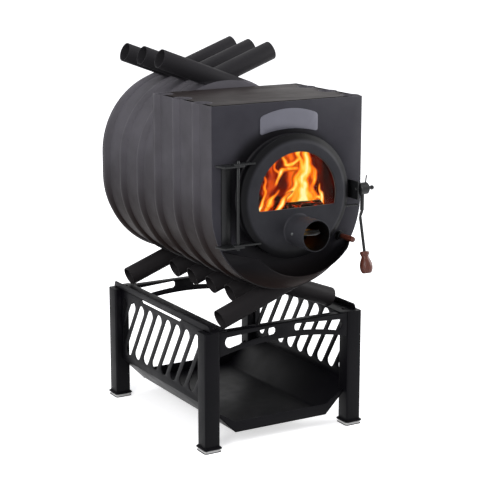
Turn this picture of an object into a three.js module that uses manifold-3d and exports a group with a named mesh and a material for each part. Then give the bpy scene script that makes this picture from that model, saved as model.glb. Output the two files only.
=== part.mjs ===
// A wood cookstove: a round-bellied firebox walled with bent air tubes, under a flat
// cook top, with a round glazed door, on a four-legged stand with a log tray.
// Millimetres. +Z is up, the door faces -Y, and the origin is on the floor under the
// middle of the whole object.
import * as THREE from 'three';
import { mergeVertices } from 'three/addons/utils/BufferGeometryUtils.js';
import Module from 'manifold-3d';

const wasm = await Module();
wasm.setup();

// Driving dimensions of the whole stove
const SEAT_GAP = 0.3;              // left between pieces that touch
const OVERRUN = 20;                // how far a cutting solid runs past what it cuts
const HALF_WIDTH = 255;            // belly radius and half the width over the casing
const COOK_TOP_HEIGHT = 303;       // cook top's face above the belly's centre
const CROWN_STEP = 24;             // rear part's crown above the cook top
const TOP_RISE = COOK_TOP_HEIGHT + CROWN_STEP - HALF_WIDTH; // belly's centre to the top arc's
const CASING_THICKNESS = 3;

// Driving dimensions of the stand
const STAND_HALF_WIDTH = 275;      // over the legs
const LEG_SIDE = 50;
const LEG_WALL = 2.5;
const LEG_CORNER = 7;
const LEG_TOP = 366;
const FOOT_HEIGHT = 14;

// Driving dimensions of the air tubes
const TUBES_PER_SIDE = 6;
const TUBE_RADIUS = 30;
const TUBE_WALL = 3;
const TUBE_RING_INSET = 21;        // a tube's centre line inside the casing's outer face
const TUBE_RING_RADIUS = HALF_WIDTH - TUBE_RING_INSET;
const TUBE_SIDE_GAP = 0.5;         // between a right tube and the left tube beside it
const TUBE_LEAVE_X = 82;           // where a tube leaves the arc for its straight end
const FOOT_INSET = 63;             // foot end inside the outer faces of the stand's legs
const FOOT_END_X = STAND_HALF_WIDTH - FOOT_INSET;
const STUB_END_X = 108;            // end of a lower tube between the feet
const OUTLET_INSET = 41;           // end of an upper tube inside the casing's side
const OUTLET_END_X = HALF_WIDTH - OUTLET_INSET;
const TUBE_SIDES = 8;
const ARC_STEPS = 4;

// Sizes shared by several plates
const FRONT_PLATE_THICKNESS = 4;
const REAR_PLATE_THICKNESS = 4;
const COOK_TOP_THICKNESS = 6;
const SHEET_THICKNESS = 3;
const ROUND_SEGMENTS = 28;
const SMALL_ROUND_SEGMENTS = 12;

// The height of the belly's centre follows from the feet standing on the stand's rails
const leaveAngle = Math.asin(TUBE_LEAVE_X / TUBE_RING_RADIUS);
const leaveDrop = TUBE_RING_RADIUS * Math.cos(leaveAngle);
const footEndDrop = leaveDrop + (FOOT_END_X + TUBE_LEAVE_X) * Math.tan(leaveAngle);
const footLowest = footEndDrop + TUBE_RADIUS * Math.cos(leaveAngle);
const RAIL_TOP = LEG_TOP + SEAT_GAP + SHEET_THICKNESS;
const BELLY_Z = RAIL_TOP + SEAT_GAP + footLowest;
const COOK_TOP_Z = BELLY_Z + COOK_TOP_HEIGHT;
const ARC_TOP_Z = BELLY_Z + TOP_RISE;

// Depths, from the front plate's face at 0 towards the back, before centring
const TUBE_PITCH = 2 * TUBE_RADIUS + TUBE_SIDE_GAP;
const FIRST_TUBE_Y = FRONT_PLATE_THICKNESS + SEAT_GAP + TUBE_RADIUS;
const LAST_TUBE_Y = FIRST_TUBE_Y + (2 * TUBES_PER_SIDE - 1) * TUBE_PITCH;
const REAR_PLATE_Y = LAST_TUBE_Y + TUBE_RADIUS + SEAT_GAP;
const BODY_DEPTH = REAR_PLATE_Y + REAR_PLATE_THICKNESS;
const COOK_DEPTH = (FIRST_TUBE_Y + LAST_TUBE_Y) / 2;

const stove = new THREE.Group();

const finish = {
  blackSteel: new THREE.MeshStandardMaterial({ color: 0x3a393c, roughness: 0.55, metalness: 0.35 }),
  warmSteel: new THREE.MeshStandardMaterial({ color: 0x4a4648, roughness: 0.5, metalness: 0.35 }),
  topSteel: new THREE.MeshStandardMaterial({ color: 0x5a5150, roughness: 0.45, metalness: 0.4 }),
  castIron: new THREE.MeshStandardMaterial({ color: 0x2b2a2b, roughness: 0.7, metalness: 0.4 }),
  standSteel: new THREE.MeshStandardMaterial({ color: 0x1d1d20, roughness: 0.45, metalness: 0.3 }),
  brightSteel: new THREE.MeshStandardMaterial({ color: 0xd8d8d6, roughness: 0.3, metalness: 0.8 }),
  plateGrey: new THREE.MeshStandardMaterial({ color: 0x8b8893, roughness: 0.4, metalness: 0.6 }),
  wood: new THREE.MeshStandardMaterial({ color: 0x6b3a2e, roughness: 0.5, metalness: 0 }),
  glass: new THREE.MeshStandardMaterial({ color: 0x2a1408, roughness: 0.1, metalness: 0 }),
  rope: new THREE.MeshStandardMaterial({ color: 0x4c4a47, roughness: 0.95, metalness: 0 }),
};

// Solids: a geometry becomes a closed solid for cutting, and comes back as a geometry

function solid(geometry) {
  const bare = geometry.clone();
  for (const name of Object.keys(bare.attributes)) {
    if (name !== 'position') bare.deleteAttribute(name);
  }
  const merged = mergeVertices(bare, 1e-4);
  const points = merged.attributes.position;
  const index = merged.index.array;
  const kept = [];
  let volume = 0;
  const a = new THREE.Vector3();
  const b = new THREE.Vector3();
  const c = new THREE.Vector3();
  for (let i = 0; i < index.length; i += 3) {
    const [p, q, r] = [index[i], index[i + 1], index[i + 2]];
    if (p === q || q === r || r === p) continue;
    kept.push(p, q, r);
    a.fromBufferAttribute(points, p);
    b.fromBufferAttribute(points, q);
    c.fromBufferAttribute(points, r);
    volume += a.dot(b.cross(c));
  }
  if (volume < 0) {
    for (let i = 0; i < kept.length; i += 3) {
      [kept[i + 1], kept[i + 2]] = [kept[i + 2], kept[i + 1]];
    }
  }
  return new wasm.Manifold(new wasm.Mesh({
    numProp: 3,
    vertProperties: Float32Array.from(points.array),
    triVerts: Uint32Array.from(kept),
  }));
}

function geometryOf(body) {
  const mesh = body.getMesh();
  const geometry = new THREE.BufferGeometry();
  geometry.setAttribute('position', new THREE.BufferAttribute(mesh.vertProperties, 3));
  geometry.setIndex(new THREE.BufferAttribute(mesh.triVerts, 1));
  return geometry;
}

function joined(...bodies) {
  return bodies.reduce((sum, body) => sum.add(body));
}

function cut(body, ...tools) {
  return tools.reduce((left, tool) => left.subtract(tool), body);
}

function add(name, material, body) {
  const mesh = new THREE.Mesh(geometryOf(body), material);
  mesh.name = name;
  stove.add(mesh);
}

// Basic shapes, each as a solid in its place

function box(x0, x1, y0, y1, z0, z1) {
  const geometry = new THREE.BoxGeometry(x1 - x0, y1 - y0, z1 - z0);
  geometry.translate((x0 + x1) / 2, (y0 + y1) / 2, (z0 + z1) / 2);
  return solid(geometry);
}

const unit = { x: new THREE.Vector3(1, 0, 0), y: new THREE.Vector3(0, 1, 0), z: new THREE.Vector3(0, 0, 1) };
const lieInXZ = new THREE.Matrix4().makeBasis(unit.x, unit.z, unit.y.clone().negate());
const lieInYZ = new THREE.Matrix4().makeBasis(unit.y, unit.z, unit.x);

function extruded(shape, depth) {
  return new THREE.ExtrudeGeometry(shape, { depth, bevelEnabled: false, steps: 1, curveSegments: 1 });
}

// An outline in X and Z, made a plate from y0 towards the back
function plateXZ(shape, y0, thickness) {
  return solid(extruded(shape, thickness).applyMatrix4(lieInXZ).translate(0, y0 + thickness, 0));
}

// An outline in Y and Z, made a plate from x0 towards +X
function plateYZ(shape, x0, thickness) {
  return solid(extruded(shape, thickness).applyMatrix4(lieInYZ).translate(x0, 0, 0));
}

// An outline in X and Y, made a plate from z0 upwards
function plateXY(shape, z0, thickness) {
  return solid(extruded(shape, thickness).translate(0, 0, z0));
}

// A profile of (radius, place along the axis) turned about an axis through a centre
function turned(profile, axis, centre, segments = ROUND_SEGMENTS) {
  const points = profile.map(([r, h]) => new THREE.Vector2(r, h));
  points.push(points[0].clone());
  const geometry = new THREE.LatheGeometry(points, segments);
  if (axis === 'x') geometry.rotateZ(-Math.PI / 2);
  if (axis === 'z') geometry.rotateX(Math.PI / 2);
  return solid(geometry.translate(...centre));
}

function rod(radius, from, to, axis, centre, segments = SMALL_ROUND_SEGMENTS) {
  return turned([[0, from], [radius, from], [radius, to], [0, to]], axis, centre, segments);
}

function ring(inner, outer, from, to, axis, centre, segments = ROUND_SEGMENTS) {
  return turned([[inner, from], [outer, from], [outer, to], [inner, to]], axis, centre, segments);
}

// Points in the turning sense asked for: an outline runs one way and its holes the other
function wound(points, clockwise) {
  const vectors = points.map(([x, y]) => new THREE.Vector2(x, y));
  return THREE.ShapeUtils.isClockWise(vectors) === clockwise ? vectors : vectors.reverse();
}

function shapeOf(points, holes = []) {
  const shape = new THREE.Shape(wound(points, false));
  shape.holes = holes.map((hole) => new THREE.Path(wound(hole, true)));
  return shape;
}

function arcPoints(cx, cy, radius, from, to, steps) {
  const points = [];
  for (let i = 0; i <= steps; i += 1) {
    const angle = from + (to - from) * i / steps;
    points.push([cx + radius * Math.cos(angle), cy + radius * Math.sin(angle)]);
  }
  return points;
}

// A round outline with a corner straight above its centre
function circlePoints(cx, cy, radius, steps = ROUND_SEGMENTS) {
  return arcPoints(cx, cy, radius, Math.PI / 2, 5 * Math.PI / 2, steps).slice(0, -1);
}

// A rectangle with rounded corners
function roundedRectangle(x0, x1, y0, y1, radius, steps = 2) {
  const quarter = Math.PI / 2;
  return [
    ...arcPoints(x1 - radius, y0 + radius, radius, -quarter, 0, steps),
    ...arcPoints(x1 - radius, y1 - radius, radius, 0, quarter, steps),
    ...arcPoints(x0 + radius, y1 - radius, radius, quarter, 2 * quarter, steps),
    ...arcPoints(x0 + radius, y0 + radius, radius, 2 * quarter, 3 * quarter, steps),
  ];
}

// A path through chosen stations, each with its point and its direction, in a plane of
// constant Y, so that rings fall only where the path starts, bends and ends
class StationPath extends THREE.Curve {
  constructor(stations) {
    super();
    this.stations = stations;
  }

  at(t, key) {
    const place = t * (this.stations.length - 1);
    const low = Math.min(Math.floor(place + 1e-9), this.stations.length - 2);
    return this.stations[low][key].clone().lerp(this.stations[low + 1][key], place - low);
  }

  getPoint(t) { return this.at(t, 'point'); }

  getPointAt(t) { return this.at(t, 'point'); }

  getTangent(t) { return this.at(t, 'direction').normalize(); }

  getTangentAt(t) { return this.getTangent(t); }
}

function alongPath(stations, outline) {
  const geometry = new THREE.ExtrudeGeometry(outline, {
    steps: stations.length - 1,
    extrudePath: new StationPath(stations),
    bevelEnabled: false,
  });
  return solid(geometry);
}

// The air tubes
// A right tube climbs the right wall. Its ends leave the arcs where they cross to the
// left, below the belly and, behind the cook top, above it. A left tube is its mirror.

function station(x, y, z, dx, dz) {
  return { point: new THREE.Vector3(x, y, z), direction: new THREE.Vector3(dx, 0, dz).normalize() };
}

function tubeStations({ index, y, isFoot }, extra = 0) {
  const isFront = index < TUBES_PER_SIDE / 2;
  const low = -(isFoot ? FOOT_END_X : STUB_END_X);
  const slope = Math.tan(leaveAngle);
  const cosine = Math.cos(leaveAngle);
  const sine = Math.sin(leaveAngle);
  const stations = [];
  const lowX = low - extra * cosine;
  stations.push(station(lowX, y, BELLY_Z - leaveDrop - (TUBE_LEAVE_X - lowX) * slope, cosine, sine));
  for (let i = 0; i <= ARC_STEPS; i += 1) {
    const angle = leaveAngle + (Math.PI / 2 - leaveAngle) * i / ARC_STEPS;
    const x = TUBE_RING_RADIUS * Math.sin(angle);
    const z = BELLY_Z - TUBE_RING_RADIUS * Math.cos(angle);
    stations.push(station(x, y, z, Math.cos(angle), Math.sin(angle)));
  }
  if (isFront) {
    stations.push(station(TUBE_RING_RADIUS, y, COOK_TOP_Z + extra, 0, 1));
    return stations;
  }
  for (let i = 0; i <= ARC_STEPS; i += 1) {
    const angle = Math.PI / 2 - (Math.PI / 2 - leaveAngle) * i / ARC_STEPS;
    const x = TUBE_RING_RADIUS * Math.sin(angle);
    const z = ARC_TOP_Z + TUBE_RING_RADIUS * Math.cos(angle);
    stations.push(station(x, y, z, -Math.cos(angle), Math.sin(angle)));
  }
  const topX = -OUTLET_END_X - extra * cosine;
  stations.push(station(topX, y, ARC_TOP_Z + leaveDrop + (TUBE_LEAVE_X - topX) * slope, -cosine, sine));
  return stations;
}

// The feet are the first tube of each side and one near the rear, so that the four feet
// lie evenly about one depth
const LAST_FOOT = { right: TUBES_PER_SIDE - 1, left: TUBES_PER_SIDE - 2 };
const tubeSpecs = [];
for (let i = 0; i < TUBES_PER_SIDE; i += 1) {
  for (const [side, turn, offset] of [['right', 1, 0], ['left', -1, 1]]) {
    tubeSpecs.push({ side, turn, index: i, y: FIRST_TUBE_Y + (2 * i + offset) * TUBE_PITCH,
      isFoot: i === 0 || i === LAST_FOOT[side] });
  }
}

function mirrored(stations, turn) {
  const flip = new THREE.Vector3(turn, 1, 1);
  return stations.map((s) => ({
    point: s.point.clone().multiply(flip),
    direction: s.direction.clone().multiply(flip),
  }));
}

function tubeBody(spec, radius, bore, extra) {
  const holes = bore > 0 ? [circlePoints(0, 0, bore, TUBE_SIDES)] : [];
  const outline = shapeOf(circlePoints(0, 0, radius, TUBE_SIDES), holes);
  return alongPath(mirrored(tubeStations(spec, extra), spec.turn), outline);
}

const tubeCutters = [];
for (const spec of tubeSpecs) {
  add(`tube_${spec.side}_${spec.index + 1}`, finish.warmSteel,
    tubeBody(spec, TUBE_RADIUS, TUBE_RADIUS - TUBE_WALL, 0));
  tubeCutters.push(tubeBody(spec, TUBE_RADIUS + SEAT_GAP, 0, OVERRUN));
}

// The casing
// Sheet strips close the wall between the tubes: in the front part they stand straight
// up to the cook top, and in the rear part they close over in an arc. On each side a
// level ledge inside, cut round the tubes, ties the strips together. The front ledges
// carry the cook top and the rear ones the baffle. The narrow strip outside the first
// or last tube of a side belongs to the end plate beside it.

const CASING_END_X = 73;           // strips end here, where the tubes of both sides meet
const casingInner = HALF_WIDTH - CASING_THICKNESS;
const dividerY = COOK_DEPTH - SHEET_THICKNESS / 2;
const frontCasingStart = FRONT_PLATE_THICKNESS + SEAT_GAP;
const frontCasingEnd = dividerY - SEAT_GAP;
const rearCasingStart = dividerY + SHEET_THICKNESS + SEAT_GAP;
const rearCasingEnd = REAR_PLATE_Y - SEAT_GAP;
const lastFrontTubeY = COOK_DEPTH - TUBE_PITCH / 2;
const firstRearTubeY = COOK_DEPTH + TUBE_PITCH / 2;
const LEDGE_THICKNESS = 4;
const LEDGE_WIDTH = 80;
const LEDGE_INNER_X = casingInner - LEDGE_WIDTH;
const BAFFLE_RISE = 78;            // baffle's underside above the top arc's centre
const cookTopBottom = COOK_TOP_Z - COOK_TOP_THICKNESS;
const baffleZ = ARC_TOP_Z + BAFFLE_RISE;

// Corner angles of a half ring, measured from +X, that fall on the tubes' own stations
function wallAngles(lower) {
  const angles = [];
  for (let i = 0; i <= ARC_STEPS; i += 1) {
    angles.push((Math.PI / 2 - leaveAngle) * i / ARC_STEPS);
  }
  const quarter = [...angles, Math.PI / 2];
  const half = [...quarter, ...quarter.slice(0, -1).reverse().map((a) => Math.PI - a)];
  return lower ? half.map((a) => -a) : half;
}

function halfRing(radius, centreZ, lower) {
  return wallAngles(lower).map((a) => [radius * Math.cos(a), centreZ + radius * Math.sin(a)]);
}

function trough(radius, topZ) {
  return [[radius, topZ], ...halfRing(radius, BELLY_Z, true), [-radius, topZ]];
}

function stadium(radius) {
  return [...halfRing(radius, BELLY_Z, true), ...halfRing(radius, ARC_TOP_Z, false).reverse()];
}

const middleGap = box(-CASING_END_X, CASING_END_X, -OVERRUN, BODY_DEPTH + OVERRUN,
  0, COOK_TOP_Z + HALF_WIDTH);
const ledgeOuterX = casingInner + CASING_THICKNESS / 2;
const roofZ = ARC_TOP_Z + HALF_WIDTH + OVERRUN;

// All the space on one side
function sideRoom(turn) {
  const sideEnd = HALF_WIDTH + OVERRUN;
  const [x0, x1] = turn > 0 ? [0, sideEnd] : [-sideEnd, 0];
  return box(x0, x1, -OVERRUN, BODY_DEPTH + OVERRUN, 0, roofZ);
}

// The strips of one side between two depths, cut round the tubes
function wallStrips(outer, inner, turn, y0, y1) {
  const outside = plateXZ(shapeOf(outer), y0, y1 - y0);
  const inside = plateXZ(shapeOf(inner), y0 - OVERRUN, y1 - y0 + 2 * OVERRUN);
  return cut(outside.intersect(sideRoom(turn)), inside, middleGap, ...tubeCutters);
}

function frontStrips(turn, y0, y1) {
  return wallStrips(trough(HALF_WIDTH, COOK_TOP_Z), trough(casingInner, COOK_TOP_Z + OVERRUN),
    turn, y0, y1);
}

function rearStrips(turn, y0, y1) {
  return wallStrips(stadium(HALF_WIDTH), stadium(casingInner), turn, y0, y1);
}

// A ledge with its upper face at a height, from the front to the back
function ledge(topZ, turn, y0, y1) {
  const [x0, x1] = turn > 0 ? [LEDGE_INNER_X, ledgeOuterX] : [-ledgeOuterX, -LEDGE_INNER_X];
  return cut(box(x0, x1, y0, y1, topZ - LEDGE_THICKNESS, topZ), ...tubeCutters);
}

// Where a ledge ends at a tube, it stops half a radius short of the tube's middle
const ledgeStop = TUBE_RADIUS / 2;
for (const [side, turn, y0, y1, ledgeFrom, ledgeTo] of [
  ['right', 1, FIRST_TUBE_Y, frontCasingEnd, FIRST_TUBE_Y + ledgeStop, frontCasingEnd],
  ['left', -1, frontCasingStart, lastFrontTubeY, frontCasingStart, lastFrontTubeY - ledgeStop],
]) {
  add(`casing_${side}_front`, finish.warmSteel,
    joined(frontStrips(turn, y0, y1), ledge(cookTopBottom - SEAT_GAP, turn, ledgeFrom, ledgeTo)));
}
const rearOutside = plateXZ(shapeOf(stadium(HALF_WIDTH)), rearCasingStart,
  rearCasingEnd - rearCasingStart);
for (const [side, turn, y0, y1, ledgeFrom, ledgeTo] of [
  ['right', 1, firstRearTubeY, rearCasingEnd, firstRearTubeY + ledgeStop, rearCasingEnd],
  ['left', -1, rearCasingStart, LAST_TUBE_Y, rearCasingStart, LAST_TUBE_Y - ledgeStop],
]) {
  add(`casing_${side}_rear`, finish.warmSteel, joined(
    rearStrips(turn, y0, y1),
    ledge(baffleZ - SEAT_GAP, turn, ledgeFrom, ledgeTo).intersect(rearOutside)));
}

// The front plate, with the round door opening and the air slide's hole

const DOOR_RISE = 30;              // door centre above the belly's centre
const COLLAR_INSET = 87;           // collar's bore inside the plate's side
const COLLAR_BORE = HALF_WIDTH - COLLAR_INSET;
const COLLAR_WALL = 8;
const COLLAR_DEPTH = 22;
const SLIDE_INSET = 77;            // air slide inside the plate's side
const SLIDE_X = HALF_WIDTH - SLIDE_INSET;
const SLIDE_DROP = 111;            // air slide below the belly's centre
const SLIDE_BORE = 8;
const doorZ = BELLY_Z + DOOR_RISE;
const slideZ = BELLY_Z - SLIDE_DROP;

const frontOutline = [
  [HALF_WIDTH, COOK_TOP_Z],
  ...arcPoints(0, BELLY_Z, HALF_WIDTH, 0, -Math.PI, ROUND_SEGMENTS),
  [-HALF_WIDTH, COOK_TOP_Z],
];
const frontHoles = [
  circlePoints(0, doorZ, COLLAR_BORE),
  circlePoints(SLIDE_X, slideZ, SLIDE_BORE, SMALL_ROUND_SEGMENTS),
];
add('front_plate', finish.blackSteel, joined(
  plateXZ(shapeOf(frontOutline, frontHoles), 0, FRONT_PLATE_THICKNESS),
  frontStrips(1, FRONT_PLATE_THICKNESS / 2, FIRST_TUBE_Y)));
add('door_collar', finish.blackSteel,
  ring(COLLAR_BORE, COLLAR_BORE + COLLAR_WALL, -COLLAR_DEPTH, -SEAT_GAP, 'y', [0, 0, doorZ]));

// The cook top, let in between the front plate, the casing and the divider. Its two
// corners that a tube's mouth would leave loose are cut away.

const COOK_TOP_SHADOW_GAP = 2;     // open line round the top's front and sides
const cookTopInset = casingInner - COOK_TOP_SHADOW_GAP;
const cookTopFront = frontCasingStart + COOK_TOP_SHADOW_GAP;
add('cook_top', finish.topSteel, cut(
  box(-cookTopInset, cookTopInset, cookTopFront, frontCasingEnd, cookTopBottom, COOK_TOP_Z),
  box(TUBE_RING_RADIUS, HALF_WIDTH, 0, FIRST_TUBE_Y, cookTopBottom, COOK_TOP_Z),
  box(-HALF_WIDTH, -TUBE_RING_RADIUS, lastFrontTubeY, COOK_DEPTH, cookTopBottom, COOK_TOP_Z),
  ...tubeCutters));

// The divider closes the step between the flat top and the round rear part. It is
// a frame all round the fire chamber, which runs through it.

const DIVIDER_OPENING_INSET = 27;  // opening's edge inside the tubes' centre lines
const DIVIDER_OPENING_RADIUS = TUBE_RING_RADIUS - DIVIDER_OPENING_INSET;
const topArcAngle = Math.asin((COOK_TOP_HEIGHT - TOP_RISE) / HALF_WIDTH);
const dividerOutline = [
  ...halfRing(HALF_WIDTH, BELLY_Z, true),
  [-HALF_WIDTH, COOK_TOP_Z],
  ...arcPoints(0, ARC_TOP_Z, HALF_WIDTH, Math.PI - topArcAngle, topArcAngle, ARC_STEPS),
  [HALF_WIDTH, COOK_TOP_Z],
];
const dividerEnd = dividerY + SHEET_THICKNESS;
add('divider_plate', finish.warmSteel, joined(
  cut(plateXZ(shapeOf(dividerOutline, [stadium(DIVIDER_OPENING_RADIUS)]), dividerY, SHEET_THICKNESS),
    ...tubeCutters),
  frontStrips(-1, lastFrontTubeY, dividerEnd),
  rearStrips(1, dividerY, firstRearTubeY)));

// The rear plate and the flue spigot, with its damper

const FLUE_RADIUS = 60;
const FLUE_WALL = 2;
const FLUE_LENGTH = 120;
const FLUE_INSET = 91;             // flue's centre below the rear part's crown
const FLUE_RISE = HALF_WIDTH - FLUE_INSET;
const FLUE_SHAFT_RADIUS = 4;
const FLUE_SHAFT_CLEARANCE = 0.25;
const FLUE_DISC_CLEARANCE = 1.5;
const FLUE_DISC_THICKNESS = 2;
const FLUE_SHAFT_ALONG_SHARE = 0.5;
const FLUE_HANDLE_REACH = 30;      // shaft beyond the spigot's wall
const FLUE_HANDLE_LENGTH = 44;
const FLUE_HANDLE_WIDTH = 12;
const FLUE_HANDLE_THICKNESS = 4;
const flueZ = ARC_TOP_Z + FLUE_RISE;
const flueStart = BODY_DEPTH + SEAT_GAP;
const flueShaftY = flueStart + FLUE_LENGTH * FLUE_SHAFT_ALONG_SHARE;

const rearOutline = [
  ...arcPoints(0, BELLY_Z, HALF_WIDTH, 0, -Math.PI, ROUND_SEGMENTS / 2),
  ...arcPoints(0, ARC_TOP_Z, HALF_WIDTH, Math.PI, 0, ROUND_SEGMENTS / 2),
];
add('rear_plate', finish.blackSteel, joined(
  plateXZ(shapeOf(rearOutline, [circlePoints(0, flueZ, FLUE_RADIUS - FLUE_WALL)]),
    REAR_PLATE_Y, REAR_PLATE_THICKNESS),
  rearStrips(-1, LAST_TUBE_Y, REAR_PLATE_Y + REAR_PLATE_THICKNESS / 2)));

const flueShaftHole = rod(FLUE_SHAFT_RADIUS + FLUE_SHAFT_CLEARANCE, -FLUE_RADIUS - OVERRUN,
  FLUE_RADIUS + OVERRUN, 'x', [0, flueShaftY, flueZ]);
add('flue_spigot', finish.blackSteel, cut(
  ring(FLUE_RADIUS - FLUE_WALL, FLUE_RADIUS, flueStart, flueStart + FLUE_LENGTH, 'y', [0, 0, flueZ]),
  flueShaftHole));

const flueDiscRadius = FLUE_RADIUS - FLUE_WALL - FLUE_DISC_CLEARANCE;
const flueHandleX = FLUE_RADIUS + FLUE_HANDLE_REACH;
add('flue_damper', finish.castIron, joined(
  rod(flueDiscRadius, -FLUE_DISC_THICKNESS / 2, FLUE_DISC_THICKNESS / 2, 'z',
    [0, flueShaftY, flueZ], ROUND_SEGMENTS),
  rod(FLUE_SHAFT_RADIUS, -FLUE_RADIUS - FLUE_SHAFT_RADIUS, flueHandleX, 'x', [0, flueShaftY, flueZ]),
  box(flueHandleX - FLUE_HANDLE_THICKNESS, flueHandleX, flueShaftY - FLUE_HANDLE_WIDTH / 2,
    flueShaftY + FLUE_HANDLE_LENGTH, flueZ - FLUE_HANDLE_WIDTH / 2, flueZ + FLUE_HANDLE_WIDTH / 2)));

// Inside: the grate rests on the tubes, and the baffle lies on the rear ledges

const GRATE_HALF_WIDTH = 130;
const GRATE_THICKNESS = 12;
const GRATE_END_MARGIN = 45;       // from the front and rear plates
const GRATE_BAR = 18;
const GRATE_SLOT = 18;
const GRATE_BORDER = 22;
const BAFFLE_THICKNESS = 5;
const BAFFLE_FRONT = 150;          // open space in front of the baffle

const halfStep = (Math.PI / 2 - leaveAngle) / ARC_STEPS / 2;
const tubeInner = TUBE_RING_RADIUS * Math.cos(halfStep) - TUBE_RADIUS;

// How far the tubes' inner sides are below the belly's centre, at a place beside the
// middle, when the grate's corner is let down on the chord between two stations
function seatDrop(x) {
  const inside = TUBE_RING_RADIUS - TUBE_RADIUS;
  const corners = [];
  for (let i = 0; i <= ARC_STEPS; i += 1) {
    const angle = leaveAngle + 2 * halfStep * i;
    corners.push([inside * Math.sin(angle), inside * Math.cos(angle)]);
  }
  const next = corners.findIndex(([cornerX]) => cornerX >= x);
  const [x0, z0] = corners[Math.max(next - 1, 0)];
  const [x1, z1] = corners[Math.max(next, 1)];
  const slope = (z0 - z1) / (x1 - x0);
  return z0 - slope * (x - x0) - SEAT_GAP * Math.hypot(1, slope);
}

const grateZ = BELLY_Z - seatDrop(GRATE_HALF_WIDTH);
const grateFront = FRONT_PLATE_THICKNESS + GRATE_END_MARGIN;
const grateRear = REAR_PLATE_Y - GRATE_END_MARGIN;
const grateSlots = [];
const slotFrom = grateFront + GRATE_BORDER;
const slotCount = Math.floor((grateRear - GRATE_BORDER - slotFrom + GRATE_BAR) / (GRATE_SLOT + GRATE_BAR));
for (let i = 0; i < slotCount; i += 1) {
  const y = slotFrom + i * (GRATE_SLOT + GRATE_BAR);
  for (const turn of [-1, 1]) {
    const near = GRATE_BAR / 2;
    const far = GRATE_HALF_WIDTH - GRATE_BORDER;
    const [x0, x1] = turn > 0 ? [near, far] : [-far, -near];
    grateSlots.push(box(x0, x1, y, y + GRATE_SLOT, grateZ - OVERRUN, grateZ + GRATE_THICKNESS + OVERRUN));
  }
}
add('grate', finish.castIron, cut(
  box(-GRATE_HALF_WIDTH, GRATE_HALF_WIDTH, grateFront, grateRear, grateZ, grateZ + GRATE_THICKNESS),
  ...grateSlots));

const baffleHalf = Math.sqrt((tubeInner - SEAT_GAP) ** 2 - (BAFFLE_RISE + BAFFLE_THICKNESS) ** 2);
add('baffle_plate', finish.castIron, box(-baffleHalf, baffleHalf, BAFFLE_FRONT,
  REAR_PLATE_Y - SEAT_GAP, baffleZ, baffleZ + BAFFLE_THICKNESS));

// The plain arched plate above the door

const PLATE_HALF_WIDTH = 98;
const PLATE_INSET = 2;             // plate's upper edge inside the front plate's side
const PLATE_TOP_RADIUS = HALF_WIDTH - PLATE_INSET;
const PLATE_LOW_RADIUS = 346;      // a flatter curve along the lower edge
const PLATE_HEIGHT = 59;           // plate's height in the middle
const PLATE_LOW_RISE = PLATE_TOP_RADIUS - PLATE_HEIGHT;
const PLATE_THICKNESS = 2;
const plateTopAngle = Math.asin(PLATE_HALF_WIDTH / PLATE_TOP_RADIUS);
const plateLowAngle = Math.asin(PLATE_HALF_WIDTH / PLATE_LOW_RADIUS);
const upright = Math.PI / 2;
add('arched_plate', finish.plateGrey, plateXZ(shapeOf([
  ...arcPoints(0, doorZ, PLATE_TOP_RADIUS, upright + plateTopAngle, upright - plateTopAngle, ARC_STEPS),
  ...arcPoints(0, doorZ + PLATE_LOW_RISE - PLATE_LOW_RADIUS, PLATE_LOW_RADIUS,
    upright - plateLowAngle, upright + plateLowAngle, ARC_STEPS),
]), -SEAT_GAP - PLATE_THICKNESS, PLATE_THICKNESS));

// The ash lip, a scoop below the door

const LIP_TAPER = 52;              // root's radius less the mouth's
const LIP_ROOT_RADIUS = casingInner;
const LIP_MOUTH_RADIUS = LIP_ROOT_RADIUS - LIP_TAPER;
const LIP_LENGTH = 90;
const LIP_ROOT_DROP = 118;         // cut line at the plate, below the belly's centre
const LIP_MOUTH_DROP = 131;        // cut line at the mouth
const lipRing = turned([
  [LIP_ROOT_RADIUS, -SEAT_GAP], [LIP_MOUTH_RADIUS, -LIP_LENGTH],
  [LIP_MOUTH_RADIUS - SHEET_THICKNESS, -LIP_LENGTH], [LIP_ROOT_RADIUS - SHEET_THICKNESS, -SEAT_GAP],
], 'y', [0, 0, BELLY_Z]);
const lipKept = plateYZ(shapeOf([
  [0, BELLY_Z - LIP_ROOT_DROP],
  [-LIP_LENGTH, BELLY_Z - LIP_MOUTH_DROP],
  [-LIP_LENGTH - OVERRUN, BELLY_Z - LIP_MOUTH_DROP],
  [-LIP_LENGTH - OVERRUN, BELLY_Z - LIP_ROOT_RADIUS - OVERRUN],
  [0, BELLY_Z - LIP_ROOT_RADIUS - OVERRUN],
]), -LIP_ROOT_RADIUS - OVERRUN, 2 * (LIP_ROOT_RADIUS + OVERRUN));
add('ash_lip', finish.blackSteel, lipRing.intersect(lipKept));

// The door pan: a round casting with a bevelled rim, a half-moon window and an air
// hole, and a rope channel that closes on the collar

const DOOR_LAP = 16;               // door beyond the collar's bore
const DOOR_RADIUS = COLLAR_BORE + DOOR_LAP;
const DOOR_FACE_INSET = 10;        // flat face inside the collar's bore
const DOOR_FACE_RADIUS = COLLAR_BORE - DOOR_FACE_INSET;
const DOOR_RIM_BACK = 24;          // rim's rear edge in front of the front plate
const DOOR_RIM_FRONT = 38;         // where the bevel starts
const DOOR_FACE = 53;              // flat face in front of the front plate
const DOOR_FACE_THICKNESS = 5;
const CHANNEL_OUTER_LAP = 11;      // seal's channel beyond the collar's bore
const CHANNEL_OUTER = COLLAR_BORE + CHANNEL_OUTER_LAP;
const CHANNEL_INNER_INSET = 2;     // channel's inner wall inside the collar's bore
const CHANNEL_INNER = COLLAR_BORE - CHANNEL_INNER_INSET;
const CHANNEL_LIP = 3;
const CHANNEL_BASE = 34;
const CHANNEL_EDGE = 26;
const WINDOW_INSET = 35;           // window's arch inside the collar's bore
const WINDOW_RADIUS = COLLAR_BORE - WINDOW_INSET;
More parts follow.
